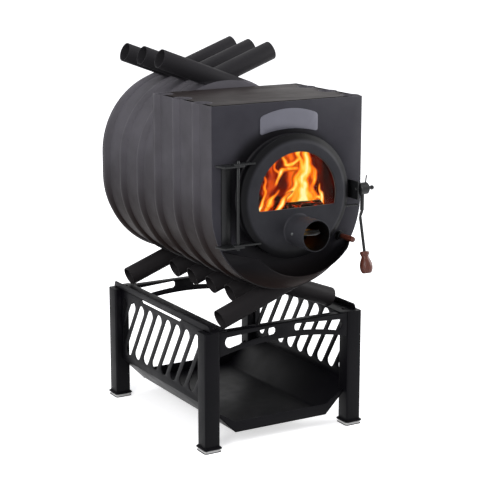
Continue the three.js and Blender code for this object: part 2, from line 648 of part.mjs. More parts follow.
const WINDOW_CHORD_DROP = 32;      // window's lower edge below the door's centre
const AIR_TUBE_INSET = 72;         // air tube's axis inside the collar's bore
const AIR_TUBE_DROP = COLLAR_BORE - AIR_TUBE_INSET;
const AIR_TUBE_RADIUS = 46;
const AIR_TUBE_WALL = 3;
const AIR_TUBE_REACH = 153;        // mouth in front of the front plate
const doorCentre = [0, 0, doorZ];
const airTubeZ = doorZ - AIR_TUBE_DROP;
const doorInnerFace = DOOR_FACE - DOOR_FACE_THICKNESS;

// A circle cut off by a level line, as the window and what frames it
function halfMoon(radius, drop, steps = ROUND_SEGMENTS * 3 / 4) {
  const start = -Math.asin(drop / radius);
  return arcPoints(0, doorZ, radius, start, Math.PI - start, steps);
}

const doorBlank = turned([
  [DOOR_RADIUS, -DOOR_RIM_BACK], [DOOR_RADIUS, -DOOR_RIM_FRONT], [DOOR_FACE_RADIUS, -DOOR_FACE],
  [0, -DOOR_FACE], [0, -doorInnerFace], [DOOR_FACE_RADIUS - DOOR_FACE_THICKNESS / 2, -doorInnerFace],
  [CHANNEL_INNER - CHANNEL_LIP, -(doorInnerFace + CHANNEL_BASE) / 2],
  [CHANNEL_INNER - CHANNEL_LIP, -CHANNEL_EDGE],
  [CHANNEL_INNER, -CHANNEL_EDGE], [CHANNEL_INNER, -CHANNEL_BASE],
  [CHANNEL_OUTER, -CHANNEL_BASE], [CHANNEL_OUTER, -DOOR_RIM_BACK],
], 'y', doorCentre);
const windowHole = plateXZ(shapeOf(halfMoon(WINDOW_RADIUS, WINDOW_CHORD_DROP)),
  -DOOR_FACE - OVERRUN, DOOR_FACE);
const airHole = rod(AIR_TUBE_RADIUS + SEAT_GAP, -DOOR_FACE - OVERRUN, 0, 'y', [0, 0, airTubeZ],
  ROUND_SEGMENTS);

// The window's stack behind the door's face: a gasket, the glass and a frame that
// clamps them, seated on bosses of the door
const GLASS_LAP = 8;
const GLASS_THICKNESS = 4;
const WINDOW_GASKET_THICKNESS = 2;
const RETAINER_THICKNESS = 2;
const RETAINER_OVERLAP = 4;        // retainer's bore beyond the window's edge
const RETAINER_MARGIN = 9;         // retainer beyond the glass
const BOSS_RADIUS = 3.8;
const BOSS_ANGLES_DEG = [0, 60, 120, 180];
const BOSS_SEGMENTS = 8;
const gasketFront = SEAT_GAP - doorInnerFace;
const glassFront = gasketFront + WINDOW_GASKET_THICKNESS + SEAT_GAP;
const retainerFront = glassFront + GLASS_THICKNESS + SEAT_GAP;
const glassRadius = WINDOW_RADIUS + GLASS_LAP;
const glassDrop = WINDOW_CHORD_DROP + GLASS_LAP;
const bossRing = glassRadius + SEAT_GAP + BOSS_RADIUS;
const bosses = BOSS_ANGLES_DEG.map((degrees) => {
  const angle = THREE.MathUtils.degToRad(degrees);
  return rod(BOSS_RADIUS, -doorInnerFace - SEAT_GAP, retainerFront - SEAT_GAP, 'y',
    [bossRing * Math.cos(angle), 0, doorZ + bossRing * Math.sin(angle)], BOSS_SEGMENTS);
});
add('door_pan', finish.blackSteel, joined(cut(doorBlank, windowHole, airHole), ...bosses));

// The rope seal in the door's channel, which presses on the collar's edge
add('door_seal', finish.rope, ring(CHANNEL_INNER + SEAT_GAP, CHANNEL_OUTER - SEAT_GAP,
  SEAT_GAP - CHANNEL_BASE, -COLLAR_DEPTH - SEAT_GAP, 'y', doorCentre));

add('window_gasket', finish.rope, plateXZ(
  shapeOf(halfMoon(glassRadius, glassDrop), [halfMoon(WINDOW_RADIUS, WINDOW_CHORD_DROP)]),
  gasketFront, WINDOW_GASKET_THICKNESS));
add('window_glass', finish.glass,
  plateXZ(shapeOf(halfMoon(glassRadius, glassDrop)), glassFront, GLASS_THICKNESS));
add('window_retainer', finish.blackSteel, plateXZ(
  shapeOf(halfMoon(glassRadius + RETAINER_MARGIN, glassDrop + SEAT_GAP),
    [halfMoon(WINDOW_RADIUS + RETAINER_OVERLAP, WINDOW_CHORD_DROP + RETAINER_OVERLAP)]),
  retainerFront, RETAINER_THICKNESS));

// The air tube through the door, and the flap that turns in it

const FLAP_ALONG = 96;             // shaft in front of the front plate
const FLAP_SHAFT_RADIUS = 4;
const FLAP_SHAFT_CLEARANCE = 0.25;
const FLAP_DISC_CLEARANCE = 1;
const FLAP_THICKNESS = 2;
const FLAP_LEVER_REACH = 18;       // shaft beyond the tube's right side
const FLAP_LEVER_LENGTH = 26;
const FLAP_LEVER_WIDTH = 9;
const FLAP_LEVER_THICKNESS = 4;
const FLAP_SHAFT_STUB = 3;         // shaft beyond the tube's left side
const flapCentre = [0, -FLAP_ALONG, airTubeZ];
const flapHole = rod(FLAP_SHAFT_RADIUS + FLAP_SHAFT_CLEARANCE, -AIR_TUBE_RADIUS - OVERRUN,
  AIR_TUBE_RADIUS + OVERRUN, 'x', flapCentre);
add('air_tube', finish.blackSteel, cut(
  ring(AIR_TUBE_RADIUS - AIR_TUBE_WALL, AIR_TUBE_RADIUS, -AIR_TUBE_REACH, -doorInnerFace, 'y',
    [0, 0, airTubeZ]),
  flapHole));

const flapLeverX = AIR_TUBE_RADIUS + FLAP_LEVER_REACH;
add('air_flap', finish.castIron, joined(
  rod(AIR_TUBE_RADIUS - AIR_TUBE_WALL - FLAP_DISC_CLEARANCE, -FLAP_THICKNESS / 2, FLAP_THICKNESS / 2,
    'z', flapCentre, ROUND_SEGMENTS),
  rod(FLAP_SHAFT_RADIUS, -AIR_TUBE_RADIUS - FLAP_SHAFT_STUB, flapLeverX, 'x', flapCentre),
  box(flapLeverX - FLAP_LEVER_THICKNESS, flapLeverX, -FLAP_ALONG - FLAP_LEVER_WIDTH / 2,
    -FLAP_ALONG + FLAP_LEVER_LENGTH, airTubeZ - FLAP_LEVER_WIDTH / 2,
    airTubeZ + FLAP_LEVER_WIDTH / 2)));

// The hinge: a bracket on the front plate carries two lugs and an upright rod, and the
// door's own lugs hang on the rod just above them

const HINGE_LAP = 22;              // rod's axis beyond the collar's bore
const HINGE_X = -COLLAR_BORE - HINGE_LAP;
const HINGE_OUT = 35;              // rod's axis in front of the front plate
const HINGE_ROD_RADIUS = 5;
const HINGE_CLEARANCE = 0.25;
const HINGE_SPREAD = 107;          // stove lug's upper face above the door's centre
const HINGE_DROP = 128;            // lower stove lug's upper face below the door's centre
const LUG_THICKNESS = 5;
const LUG_HALF_DEPTH = 10;
const LUG_END = 18;                // a lug's rounded end beyond the rod's axis
const STOVE_LUG_RUN = 59;          // stove lug from the rod's axis to its far end
const DOOR_LUG_RUN = 80;           // door lug from the rod's axis to its far end
const BRACKET_NEAR = 8;            // bracket's near edge from the rod's axis
const BRACKET_WIDTH = 28;
const STOVE_LUG_LEFT = HINGE_X - STOVE_LUG_RUN;
const STOVE_LUG_RIGHT = HINGE_X + LUG_END;
const DOOR_LUG_LEFT = HINGE_X - LUG_END;
const DOOR_LUG_RIGHT = HINGE_X + DOOR_LUG_RUN;
const BRACKET_RIGHT = HINGE_X - BRACKET_NEAR;
const BRACKET_LEFT = BRACKET_RIGHT - BRACKET_WIDTH;
const BRACKET_THICKNESS = 4;
const ROD_OVERHANG = 8;

const hingeCentre = [HINGE_X, -HINGE_OUT, 0];
const rodHole = rod(HINGE_ROD_RADIUS + HINGE_CLEARANCE, 0, COOK_TOP_Z, 'z', hingeCentre);
const upperSeat = doorZ + HINGE_SPREAD;
const lowerSeat = doorZ - HINGE_DROP;
const hingeFront = -HINGE_OUT - LUG_HALF_DEPTH;

function stoveLug(topZ) {
  const outline = shapeOf([
    [STOVE_LUG_LEFT, -SEAT_GAP - BRACKET_THICKNESS], [STOVE_LUG_LEFT + LUG_HALF_DEPTH, hingeFront],
    [STOVE_LUG_RIGHT, hingeFront], [STOVE_LUG_RIGHT, -HINGE_OUT + LUG_HALF_DEPTH],
    [BRACKET_RIGHT, -SEAT_GAP - BRACKET_THICKNESS],
  ]);
  return plateXY(outline, topZ - LUG_THICKNESS, LUG_THICKNESS);
}

add('hinge_bracket', finish.castIron, cut(joined(
  box(BRACKET_LEFT, BRACKET_RIGHT, -SEAT_GAP - BRACKET_THICKNESS, -SEAT_GAP,
    lowerSeat - LUG_THICKNESS, upperSeat),
  stoveLug(upperSeat),
  stoveLug(lowerSeat)), rodHole));
add('hinge_rod', finish.castIron, rod(HINGE_ROD_RADIUS, lowerSeat - LUG_THICKNESS - ROD_OVERHANG,
  upperSeat + LUG_THICKNESS + ROD_OVERHANG, 'z', hingeCentre));

const doorEnvelope = turned([
  [0, OVERRUN], [DOOR_RADIUS + SEAT_GAP, OVERRUN], [DOOR_RADIUS + SEAT_GAP, -DOOR_RIM_FRONT],
  [DOOR_FACE_RADIUS + SEAT_GAP, -DOOR_FACE - SEAT_GAP], [0, -DOOR_FACE - SEAT_GAP],
], 'y', doorCentre);

function doorLug(seatZ) {
  return box(DOOR_LUG_LEFT, DOOR_LUG_RIGHT, hingeFront, -HINGE_OUT + LUG_HALF_DEPTH,
    seatZ + SEAT_GAP, seatZ + SEAT_GAP + LUG_THICKNESS);
}

add('door_lug_upper', finish.castIron, cut(doorLug(upperSeat), rodHole, doorEnvelope));
add('door_lug_lower', finish.castIron, cut(doorLug(lowerSeat), rodHole, doorEnvelope));

// The latch: a bracket with a fixed pin, a lever with a round hub that turns on it, a
// turned wooden handle, and the tongue on the door that the lever passes

const LATCH_RISE = 3;              // pin above the door's centre
const LATCH_OUT = 46;              // pin in front of the front plate
const LATCH_PIN_RADIUS = 5;
const LATCH_CLEARANCE = 0.25;
const LATCH_PIN_OVERHANG = 9;      // pin's end beyond the front plate's side
const LATCH_PIN_END = HALF_WIDTH + LATCH_PIN_OVERHANG;
const LATCH_BALL_RADIUS = 7;
const LATCH_PLATE_INSET = 47;      // bracket inside the front plate's side
const LATCH_PLATE_X = HALF_WIDTH - LATCH_PLATE_INSET;
const LATCH_PLATE_THICKNESS = 5;
const LATCH_PLATE_TOP = 23;        // above the pin
const LATCH_PLATE_FOOT = 31;       // below the pin
const LATCH_PLATE_MARGIN = 8;      // plate beyond the pin's axis
const HUB_RADIUS = 18;
const HUB_STEP = 9;                // hub's inner end beyond the bracket
const HUB_LEFT = LATCH_PLATE_X + HUB_STEP;
const HUB_LENGTH = 29;
const HUB_RIGHT = HUB_LEFT + HUB_LENGTH;
const SPIKE_RADIUS = 2;
const SPIKE_STEP = 23;             // spike beyond the hub's inner end
const SPIKE_X = HUB_LEFT + SPIKE_STEP;
const SPIKE_TOP = 40;              // above the pin
const LEVER_UPPER_RADIUS = 6;
const LEVER_UPPER_STEP = 13;       // upper bar beyond the hub's inner end
const LEVER_UPPER_X = HUB_LEFT + LEVER_UPPER_STEP;
const LEVER_UPPER_DROP = 66;
const LEVER_LOWER_RADIUS = 4;
const LEVER_LOWER_STEP = 7;        // lower bar beyond the hub's inner end
const LEVER_LOWER_X = HUB_LEFT + LEVER_LOWER_STEP;
const LEVER_KINK_DROP = 84;
const LEVER_FORWARD = 25;          // lever's forward slope, kink to handle
const HANDLE_DROP = 186;           // handle's top below the pin
const HANDLE_LENGTH = 66;
const HANDLE_BORE_SHARE = 0.6;
const TONGUE_DROP = 49;            // below the pin
const TONGUE_RADIUS = 3.5;
const TONGUE_CLEAR = 1.7;          // tongue's end to the lever
const TONGUE_FOOT = 14;            // tongue's run along the door's rim
const latchZ = doorZ + LATCH_RISE;
const pinCentre = [0, -LATCH_OUT, latchZ];

const latchPlate = plateYZ(shapeOf([
  [-SEAT_GAP, latchZ - LATCH_PLATE_FOOT],
  [-SEAT_GAP, latchZ + LATCH_PLATE_TOP],
  [-LATCH_OUT - LATCH_PLATE_MARGIN, latchZ + LATCH_PLATE_TOP],
  [-LATCH_OUT - LATCH_PLATE_MARGIN, latchZ - LATCH_PLATE_FOOT],
]), LATCH_PLATE_X, LATCH_PLATE_THICKNESS);
const pinHole = rod(LATCH_PIN_RADIUS + LATCH_CLEARANCE, LATCH_PLATE_X - OVERRUN, LATCH_PIN_END, 'x',
  pinCentre);
add('latch_bracket', finish.castIron, cut(latchPlate, pinHole));
const pinHead = turned([
  [0, LATCH_PIN_END - LATCH_BALL_RADIUS],
  ...arcPoints(0, LATCH_PIN_END, LATCH_BALL_RADIUS, -Math.PI / 3, Math.PI / 3, 4),
  [0, LATCH_PIN_END + LATCH_BALL_RADIUS],
], 'x', pinCentre, SMALL_ROUND_SEGMENTS);
const pinBody = rod(LATCH_PIN_RADIUS, LATCH_PLATE_X - LATCH_PIN_RADIUS, LATCH_PIN_END, 'x', pinCentre);
add('latch_pin', finish.castIron, joined(pinBody, pinHead));

const leverDown = new THREE.Vector3(0, 0, -1);
const kinkPoint = new THREE.Vector3(LEVER_LOWER_X, -LATCH_OUT, latchZ - LEVER_KINK_DROP);
const handleTop = new THREE.Vector3(LEVER_LOWER_X, -LATCH_OUT - LEVER_FORWARD, latchZ - HANDLE_DROP);
const handleAxis = handleTop.clone().sub(kinkPoint).normalize();
const rodInHandle = HANDLE_LENGTH * HANDLE_BORE_SHARE;
const leverBend = new THREE.Vector3(LEVER_UPPER_X, -LATCH_OUT, latchZ - LEVER_UPPER_DROP);

function bar(radius, points) {
  const stations = points.map((point, i) => {
    const before = points[Math.max(i - 1, 0)];
    const after = points[Math.min(i + 1, points.length - 1)];
    return { point, direction: after.clone().sub(before).normalize() };
  });
  return alongPath(stations, shapeOf(circlePoints(0, 0, radius, TUBE_SIDES)));
}

const leverUpper = bar(LEVER_UPPER_RADIUS, [
  new THREE.Vector3(LEVER_UPPER_X, -LATCH_OUT, latchZ - HUB_RADIUS / 2), leverBend,
]);
const leverLower = bar(LEVER_LOWER_RADIUS, [
  leverBend.clone().addScaledVector(leverDown, -LEVER_UPPER_RADIUS), leverBend,
  kinkPoint, handleTop.clone().addScaledVector(handleAxis, rodInHandle),
]);
const hub = rod(HUB_RADIUS, HUB_LEFT, HUB_RIGHT, 'x', pinCentre, ROUND_SEGMENTS);
const spike = bar(SPIKE_RADIUS, [
  new THREE.Vector3(SPIKE_X, -LATCH_OUT, latchZ + HUB_RADIUS / 2),
  new THREE.Vector3(SPIKE_X + 2 * SPIKE_RADIUS, -LATCH_OUT, latchZ + SPIKE_TOP),
]);
add('latch_lever', finish.castIron, cut(joined(hub, leverUpper, leverLower, spike), pinHole));

// The handle's turned profile, as shares of its length and of its belly
const HANDLE_BELLY_RADIUS = 19.5;
const handleProfileShares = [
  [0, 0], [0.66, 0], [0.74, 0.04], [0.74, 0.13], [0.57, 0.2], [0.57, 0.28], [0.8, 0.42],
  [0.97, 0.58], [1, 0.7], [0.93, 0.85], [0.72, 0.97], [0.6, 1], [0, 1],
];
const handleTurned = turned(
  handleProfileShares.map(([r, h]) => [r * HANDLE_BELLY_RADIUS, h * HANDLE_LENGTH]), 'y', [0, 0, 0],
  SMALL_ROUND_SEGMENTS);
const toHandle = new THREE.Quaternion().setFromUnitVectors(unit.y, handleAxis);
const handlePlace = new THREE.Matrix4().compose(handleTop, toHandle, new THREE.Vector3(1, 1, 1));
const handleBore = bar(LEVER_LOWER_RADIUS + SEAT_GAP, [
  handleTop.clone().addScaledVector(handleAxis, -OVERRUN),
  handleTop.clone().addScaledVector(handleAxis, rodInHandle + SEAT_GAP),
]);
add('latch_handle', finish.wood,
  cut(solid(geometryOf(handleTurned).applyMatrix4(handlePlace)), handleBore));

const tongueZ = latchZ - TONGUE_DROP;
const tongueEnd = LEVER_UPPER_X - LEVER_UPPER_RADIUS - TONGUE_CLEAR;
const rimAtTongue = Math.sqrt(DOOR_RADIUS ** 2 - (tongueZ - doorZ) ** 2);
add('door_tongue', finish.castIron, cut(
  rod(TONGUE_RADIUS, rimAtTongue - TONGUE_FOOT, tongueEnd, 'x', [0, -HINGE_OUT, tongueZ]),
  doorEnvelope));

// The air slide: a piston valve in a guide on the front plate, with a wooden pull

const GUIDE_RADIUS = 12;
const GUIDE_LENGTH = 16;
const GUIDE_CAP = 3;
const SLIDE_ROD_RADIUS = 4;
const SLIDE_CLEARANCE = 0.3;
const SLIDE_PISTON_LENGTH = 5;
const SLIDE_PULL_RADIUS = 8.5;
const SLIDE_PULL_LENGTH = 62;
const SLIDE_PULL_NECK_SHARE = 0.82;
const slideCentre = [SLIDE_X, 0, slideZ];
add('air_slide_guide', finish.castIron, turned([
  [SLIDE_ROD_RADIUS + SLIDE_CLEARANCE, -GUIDE_LENGTH], [GUIDE_RADIUS, -GUIDE_LENGTH],
  [GUIDE_RADIUS, -SEAT_GAP], [SLIDE_BORE, -SEAT_GAP], [SLIDE_BORE, -GUIDE_LENGTH + GUIDE_CAP],
  [SLIDE_ROD_RADIUS + SLIDE_CLEARANCE, -GUIDE_LENGTH + GUIDE_CAP],
], 'y', slideCentre, SMALL_ROUND_SEGMENTS));
const pistonBack = FRONT_PLATE_THICKNESS / 2;
const pullStart = -GUIDE_LENGTH - SEAT_GAP;
const rodInPull = SLIDE_PULL_LENGTH / 2;
add('air_slide_rod', finish.castIron, turned([
  [0, pistonBack], [SLIDE_BORE - SLIDE_CLEARANCE, pistonBack],
  [SLIDE_BORE - SLIDE_CLEARANCE, pistonBack - SLIDE_PISTON_LENGTH],
  [SLIDE_ROD_RADIUS, pistonBack - SLIDE_PISTON_LENGTH],
  [SLIDE_ROD_RADIUS, pullStart - rodInPull], [0, pullStart - rodInPull],
], 'y', slideCentre, SMALL_ROUND_SEGMENTS));
const pullEnd = pullStart - SLIDE_PULL_LENGTH;
const pullEdge = SLIDE_PULL_RADIUS / 4;
add('air_slide_pull', finish.wood, turned([
  [SLIDE_ROD_RADIUS + SEAT_GAP, pullStart], [SLIDE_PULL_RADIUS * SLIDE_PULL_NECK_SHARE, pullStart],
  [SLIDE_PULL_RADIUS, pullEnd + 3 * pullEdge], [SLIDE_PULL_RADIUS, pullEnd + pullEdge],
  [SLIDE_PULL_RADIUS - pullEdge, pullEnd], [0, pullEnd], [0, pullStart - rodInPull - SEAT_GAP],
  [SLIDE_ROD_RADIUS + SEAT_GAP, pullStart - rodInPull - SEAT_GAP],
], 'y', slideCentre, SMALL_ROUND_SEGMENTS));

// The stand's legs: square tubes with a closed top, each on a welded flange and a pad

const FLANGE_SIDE = 60;
const FLANGE_THICKNESS = 4;
const PAD_SIDE = 46;
const PAD_DRAIN_RADIUS = 6;        // hole up through the pad into the leg
const LEG_CAP = 4;
const FOOT_MARGIN = 25;            // stand's front and back beyond the outer feet's middles
const footDepths = tubeSpecs.filter((spec) => spec.isFoot).map((spec) => spec.y);
const standFront = Math.min(...footDepths) - FOOT_MARGIN;
const standBack = Math.max(...footDepths) + FOOT_MARGIN;
const legSpots = [];
for (const [across, x] of [['left', -1], ['right', 1]]) {
  for (const [along, y] of [['front', standFront + LEG_SIDE / 2], ['rear', standBack - LEG_SIDE / 2]]) {
    legSpots.push({ name: `leg_${along}_${across}`, x: x * (STAND_HALF_WIDTH - LEG_SIDE / 2), y });
  }
}

function squareAt(spot, side, corner, z0, height) {
  const half = side / 2;
  return plateXY(shapeOf(roundedRectangle(spot.x - half, spot.x + half, spot.y - half, spot.y + half,
    corner)), z0, height);
}

const flangeBottom = FOOT_HEIGHT - FLANGE_THICKNESS;
const legInner = LEG_SIDE - 2 * LEG_WALL;
for (const spot of legSpots) {
  add(spot.name, finish.standSteel, cut(
    joined(squareAt(spot, LEG_SIDE, LEG_CORNER, flangeBottom, LEG_TOP - flangeBottom),
      squareAt(spot, FLANGE_SIDE, LEG_CORNER, flangeBottom, FLANGE_THICKNESS),
      squareAt(spot, PAD_SIDE, LEG_CORNER, 0, FOOT_HEIGHT)),
    squareAt(spot, legInner, LEG_CORNER - LEG_WALL, FOOT_HEIGHT, LEG_TOP - LEG_CAP - FOOT_HEIGHT),
    rod(PAD_DRAIN_RADIUS, -OVERRUN, FOOT_HEIGHT + OVERRUN, 'z', [spot.x, spot.y, 0])));
}

// The rails that carry the stove's tube feet: angles on top of the legs

const RAIL_WIDTH = 60;
const RAIL_LIP = 20;
const RAIL_INSET = 18;             // rail's lip inside the legs' outer faces
const RAIL_CORNER = 12;
const railOuter = STAND_HALF_WIDTH - RAIL_INSET;
const railInner = railOuter - RAIL_WIDTH;
const railBottom = LEG_TOP + SEAT_GAP;

for (const [name, turn] of [['rail_left', -1], ['rail_right', 1]]) {
  const [x0, x1] = turn > 0 ? [railInner, railOuter] : [-railOuter, -railInner];
  const lipX = turn > 0 ? railOuter - SHEET_THICKNESS : -railOuter;
  const flange = plateXY(shapeOf(roundedRectangle(x0, x1, standFront, standBack, RAIL_CORNER)),
    railBottom, SHEET_THICKNESS);
  const lip = plateYZ(shapeOf([
    [standFront + RAIL_CORNER, railBottom], [standBack - RAIL_CORNER, railBottom],
    ...arcPoints(standBack - 2 * RAIL_CORNER, railBottom + RAIL_LIP - RAIL_CORNER, RAIL_CORNER,
      0, Math.PI / 2, 2),
    ...arcPoints(standFront + 2 * RAIL_CORNER, railBottom + RAIL_LIP - RAIL_CORNER, RAIL_CORNER,
      Math.PI / 2, Math.PI, 2),
  ]), lipX, SHEET_THICKNESS);
  add(name, finish.standSteel, joined(flange, lip));
}

// The front and rear aprons: arched sheets with two hand slots each and a top flange

const APRON_FOOT = 290;            // lower edge at the legs
const APRON_INSET = 4;             // apron's face behind the legs' faces
const APRON_FLANGE = 25;
const HAND_SLOT_MARGIN = 14;       // slot's outer end to the leg
const HAND_SLOT_MIDDLE = 34;       // half the web between the slots
// Heights in the apron, as shares of its height at the legs
const APRON_ARCH_SHARE = 0.355;    // lower edge in the middle
const HAND_SLOT_TOP_SHARE = 0.87;
const HAND_SLOT_OUTER_SHARE = 0.24; // slot's lower edge at its outer end
const HAND_SLOT_INNER_SHARE = 0.59; // slot's lower edge near the middle
const HAND_SLOT_CORNER_SHARE = 0.105;
const apronHalf = STAND_HALF_WIDTH - LEG_SIDE - SEAT_GAP;
const apronHeight = LEG_TOP - APRON_FOOT;
const archCrown = APRON_FOOT + apronHeight * APRON_ARCH_SHARE;
const handSlotTop = APRON_FOOT + apronHeight * HAND_SLOT_TOP_SHARE;
const handSlotOuterFoot = APRON_FOOT + apronHeight * HAND_SLOT_OUTER_SHARE;
const handSlotInnerFoot = APRON_FOOT + apronHeight * HAND_SLOT_INNER_SHARE;
const handSlotCorner = apronHeight * HAND_SLOT_CORNER_SHARE;

// Height of a parabola that is at foot at the legs and at crown in the middle
function archAt(x, foot, crown) {
  return crown - (crown - foot) * (x / apronHalf) ** 2;
}

function archPoints(x0, x1, foot, crown, steps) {
  const points = [];
  for (let i = 0; i <= steps; i += 1) {
    const x = x0 + (x1 - x0) * i / steps;
    points.push([x, archAt(x, foot, crown)]);
  }
  return points;
}

function handSlot(turn) {
  const outer = apronHalf - HAND_SLOT_MARGIN;
  const endRadius = (handSlotTop - handSlotOuterFoot) / 2;
  const outline = [
    ...archPoints(HAND_SLOT_MIDDLE + handSlotCorner, outer - endRadius,
      handSlotOuterFoot - handSlotCorner / 2, handSlotInnerFoot, ARC_STEPS),
    ...arcPoints(outer - endRadius, handSlotTop - endRadius, endRadius,
      -Math.PI / 3, Math.PI / 2, ARC_STEPS),
    [HAND_SLOT_MIDDLE + handSlotCorner, handSlotTop],
    [HAND_SLOT_MIDDLE, handSlotTop - handSlotCorner],
    [HAND_SLOT_MIDDLE, handSlotInnerFoot + handSlotCorner],
  ];
  return outline.map(([x, z]) => [turn * x, z]);
}

for (const [name, face, inward] of [
  ['apron_front', standFront + APRON_INSET, 1],
  ['apron_rear', standBack - APRON_INSET, -1],
]) {
  const outline = [
    [-apronHalf, LEG_TOP], ...archPoints(-apronHalf, apronHalf, APRON_FOOT, archCrown, 2 * ARC_STEPS),
    [apronHalf, LEG_TOP],
  ];
  const y0 = inward > 0 ? face : face - SHEET_THICKNESS;
  const [f0, f1] = inward > 0 ? [face, face + APRON_FLANGE] : [face - APRON_FLANGE, face];
  add(name, finish.standSteel, joined(
    plateXZ(shapeOf(outline, [handSlot(-1), handSlot(1)]), y0, SHEET_THICKNESS),
    box(-apronHalf, apronHalf, f0, f1, LEG_TOP - SHEET_THICKNESS, LEG_TOP)));
}

// The side panels: sheets between the legs with slanted slots

const PANEL_FOOT = 132;
const PANEL_NOTCH = 12;            // depth of the shallow notch in the top edge
const PANEL_NOTCH_SHARE = 0.45;
const SLOT_LOW = 155;
const SLOT_HIGH = 340;
const SLOT_WIDTH = 34;
const SLOT_PITCH = 61;
const SLOT_LEAN = THREE.MathUtils.degToRad(32);
const SLOT_END_MARGIN = 8;
const panelX = STAND_HALF_WIDTH - LEG_SIDE / 2;
const panelFront = standFront + LEG_SIDE + SEAT_GAP;
const panelBack = standBack - LEG_SIDE - SEAT_GAP;

// One slanted slot with round ends, whose top leans to the front
function slantedSlot(middleY) {
  const radius = SLOT_WIDTH / 2;
  const middleZ = (SLOT_LOW + SLOT_HIGH) / 2;
  const half = ((SLOT_HIGH - SLOT_LOW) / 2 - radius) / Math.cos(SLOT_LEAN);
  const up = Math.PI / 2 + SLOT_LEAN;
  const dy = half * Math.cos(up);
  const dz = half * Math.sin(up);
  return [
    ...arcPoints(middleY + dy, middleZ + dz, radius, up - Math.PI / 2, up + Math.PI / 2, 3),
    ...arcPoints(middleY - dy, middleZ - dz, radius, up + Math.PI / 2, up + 3 * Math.PI / 2, 3),
  ];
}

const panelMiddle = (panelFront + panelBack) / 2;
const slotsEachWay = Math.ceil((panelBack - panelFront) / 2 / SLOT_PITCH) + 1;
const slotWindow = box(-STAND_HALF_WIDTH, STAND_HALF_WIDTH, panelFront + SLOT_END_MARGIN,
  panelBack - SLOT_END_MARGIN, SLOT_LOW, SLOT_HIGH);
const slotSolids = [];
for (let i = -slotsEachWay; i <= slotsEachWay; i += 1) {
  slotSolids.push(plateYZ(shapeOf(slantedSlot(panelMiddle + i * SLOT_PITCH)),
    -STAND_HALF_WIDTH, 2 * STAND_HALF_WIDTH));
}
const panelSlots = joined(...slotSolids).intersect(slotWindow);
const notchHalf = (panelBack - panelFront) * PANEL_NOTCH_SHARE / 2;
const panelOutline = [
  [panelFront, PANEL_FOOT], [panelBack, PANEL_FOOT], [panelBack, LEG_TOP],
  [panelMiddle + notchHalf + PANEL_NOTCH, LEG_TOP], [panelMiddle + notchHalf, LEG_TOP - PANEL_NOTCH],
  [panelMiddle - notchHalf, LEG_TOP - PANEL_NOTCH], [panelMiddle - notchHalf - PANEL_NOTCH, LEG_TOP],
  [panelFront, LEG_TOP],
];
for (const [name, turn] of [['side_panel_left', -1], ['side_panel_right', 1]]) {
  const x0 = turn * panelX - SHEET_THICKNESS / 2;
  add(name, finish.standSteel, cut(plateYZ(shapeOf(panelOutline), x0, SHEET_THICKNESS), panelSlots));
}

// The log tray: a flat floor with sloping wings up to the side panels, closed by a low
// lip at the front and the back

const TRAY_WING_RUN = 90.5;        // sideways, from the floor's edge to the wing's top
const TRAY_Z = 40;
const TRAY_LIP = 35;
const trayTop = PANEL_FOOT - SEAT_GAP;
const trayHalf = panelX + SHEET_THICKNESS / 2;
const trayFront = standFront + LEG_SIDE / 2 - SHEET_THICKNESS;
const trayBack = standBack - LEG_SIDE / 2 + SHEET_THICKNESS;
const wingX = trayHalf;
const trayFloorHalf = trayHalf - TRAY_WING_RUN;

// The tray's section, raised everywhere by the same height
function traySection(rise) {
  return [[-wingX, trayTop + rise], [-trayFloorHalf, TRAY_Z + rise], [trayFloorHalf, TRAY_Z + rise],
    [wingX, trayTop + rise]];
}

const wingRise = SHEET_THICKNESS * Math.hypot(trayTop - TRAY_Z, wingX - trayFloorHalf)
  / (wingX - trayFloorHalf);
const trayShell = plateXZ(shapeOf([
  ...traySection(0),
  [wingX - SHEET_THICKNESS, trayTop],
  [trayFloorHalf - SHEET_THICKNESS / 2, TRAY_Z + SHEET_THICKNESS],
  [SHEET_THICKNESS / 2 - trayFloorHalf, TRAY_Z + SHEET_THICKNESS],
  [SHEET_THICKNESS - wingX, trayTop],
]), trayFront, trayBack - trayFront);

function trayEndLip(y0) {
  const upper = traySection(TRAY_LIP).map(([x, z]) => [x, Math.min(z, trayTop)]).reverse();
  return plateXZ(shapeOf([...traySection(0), ...upper.slice(1, 3)]), y0, SHEET_THICKNESS);
}

const legRoom = legSpots.map((spot) => squareAt(spot, LEG_SIDE + 2 * SEAT_GAP, LEG_CORNER,
  flangeBottom, LEG_TOP));
add('log_tray', finish.standSteel, cut(
  joined(trayShell, trayEndLip(trayFront), trayEndLip(trayBack - SHEET_THICKNESS)), ...legRoom));

// Everything moves so that the origin is on the floor under the middle of the object
const middleY = (flueStart + FLUE_LENGTH - AIR_TUBE_REACH) / 2;
stove.traverse((object) => {
  if (object.isMesh) object.geometry.translate(0, -middleY, 0);
});
stove.updateMatrixWorld(true);

export default stove;
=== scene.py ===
import math

import bmesh
import bpy
from mathutils import Matrix, Vector


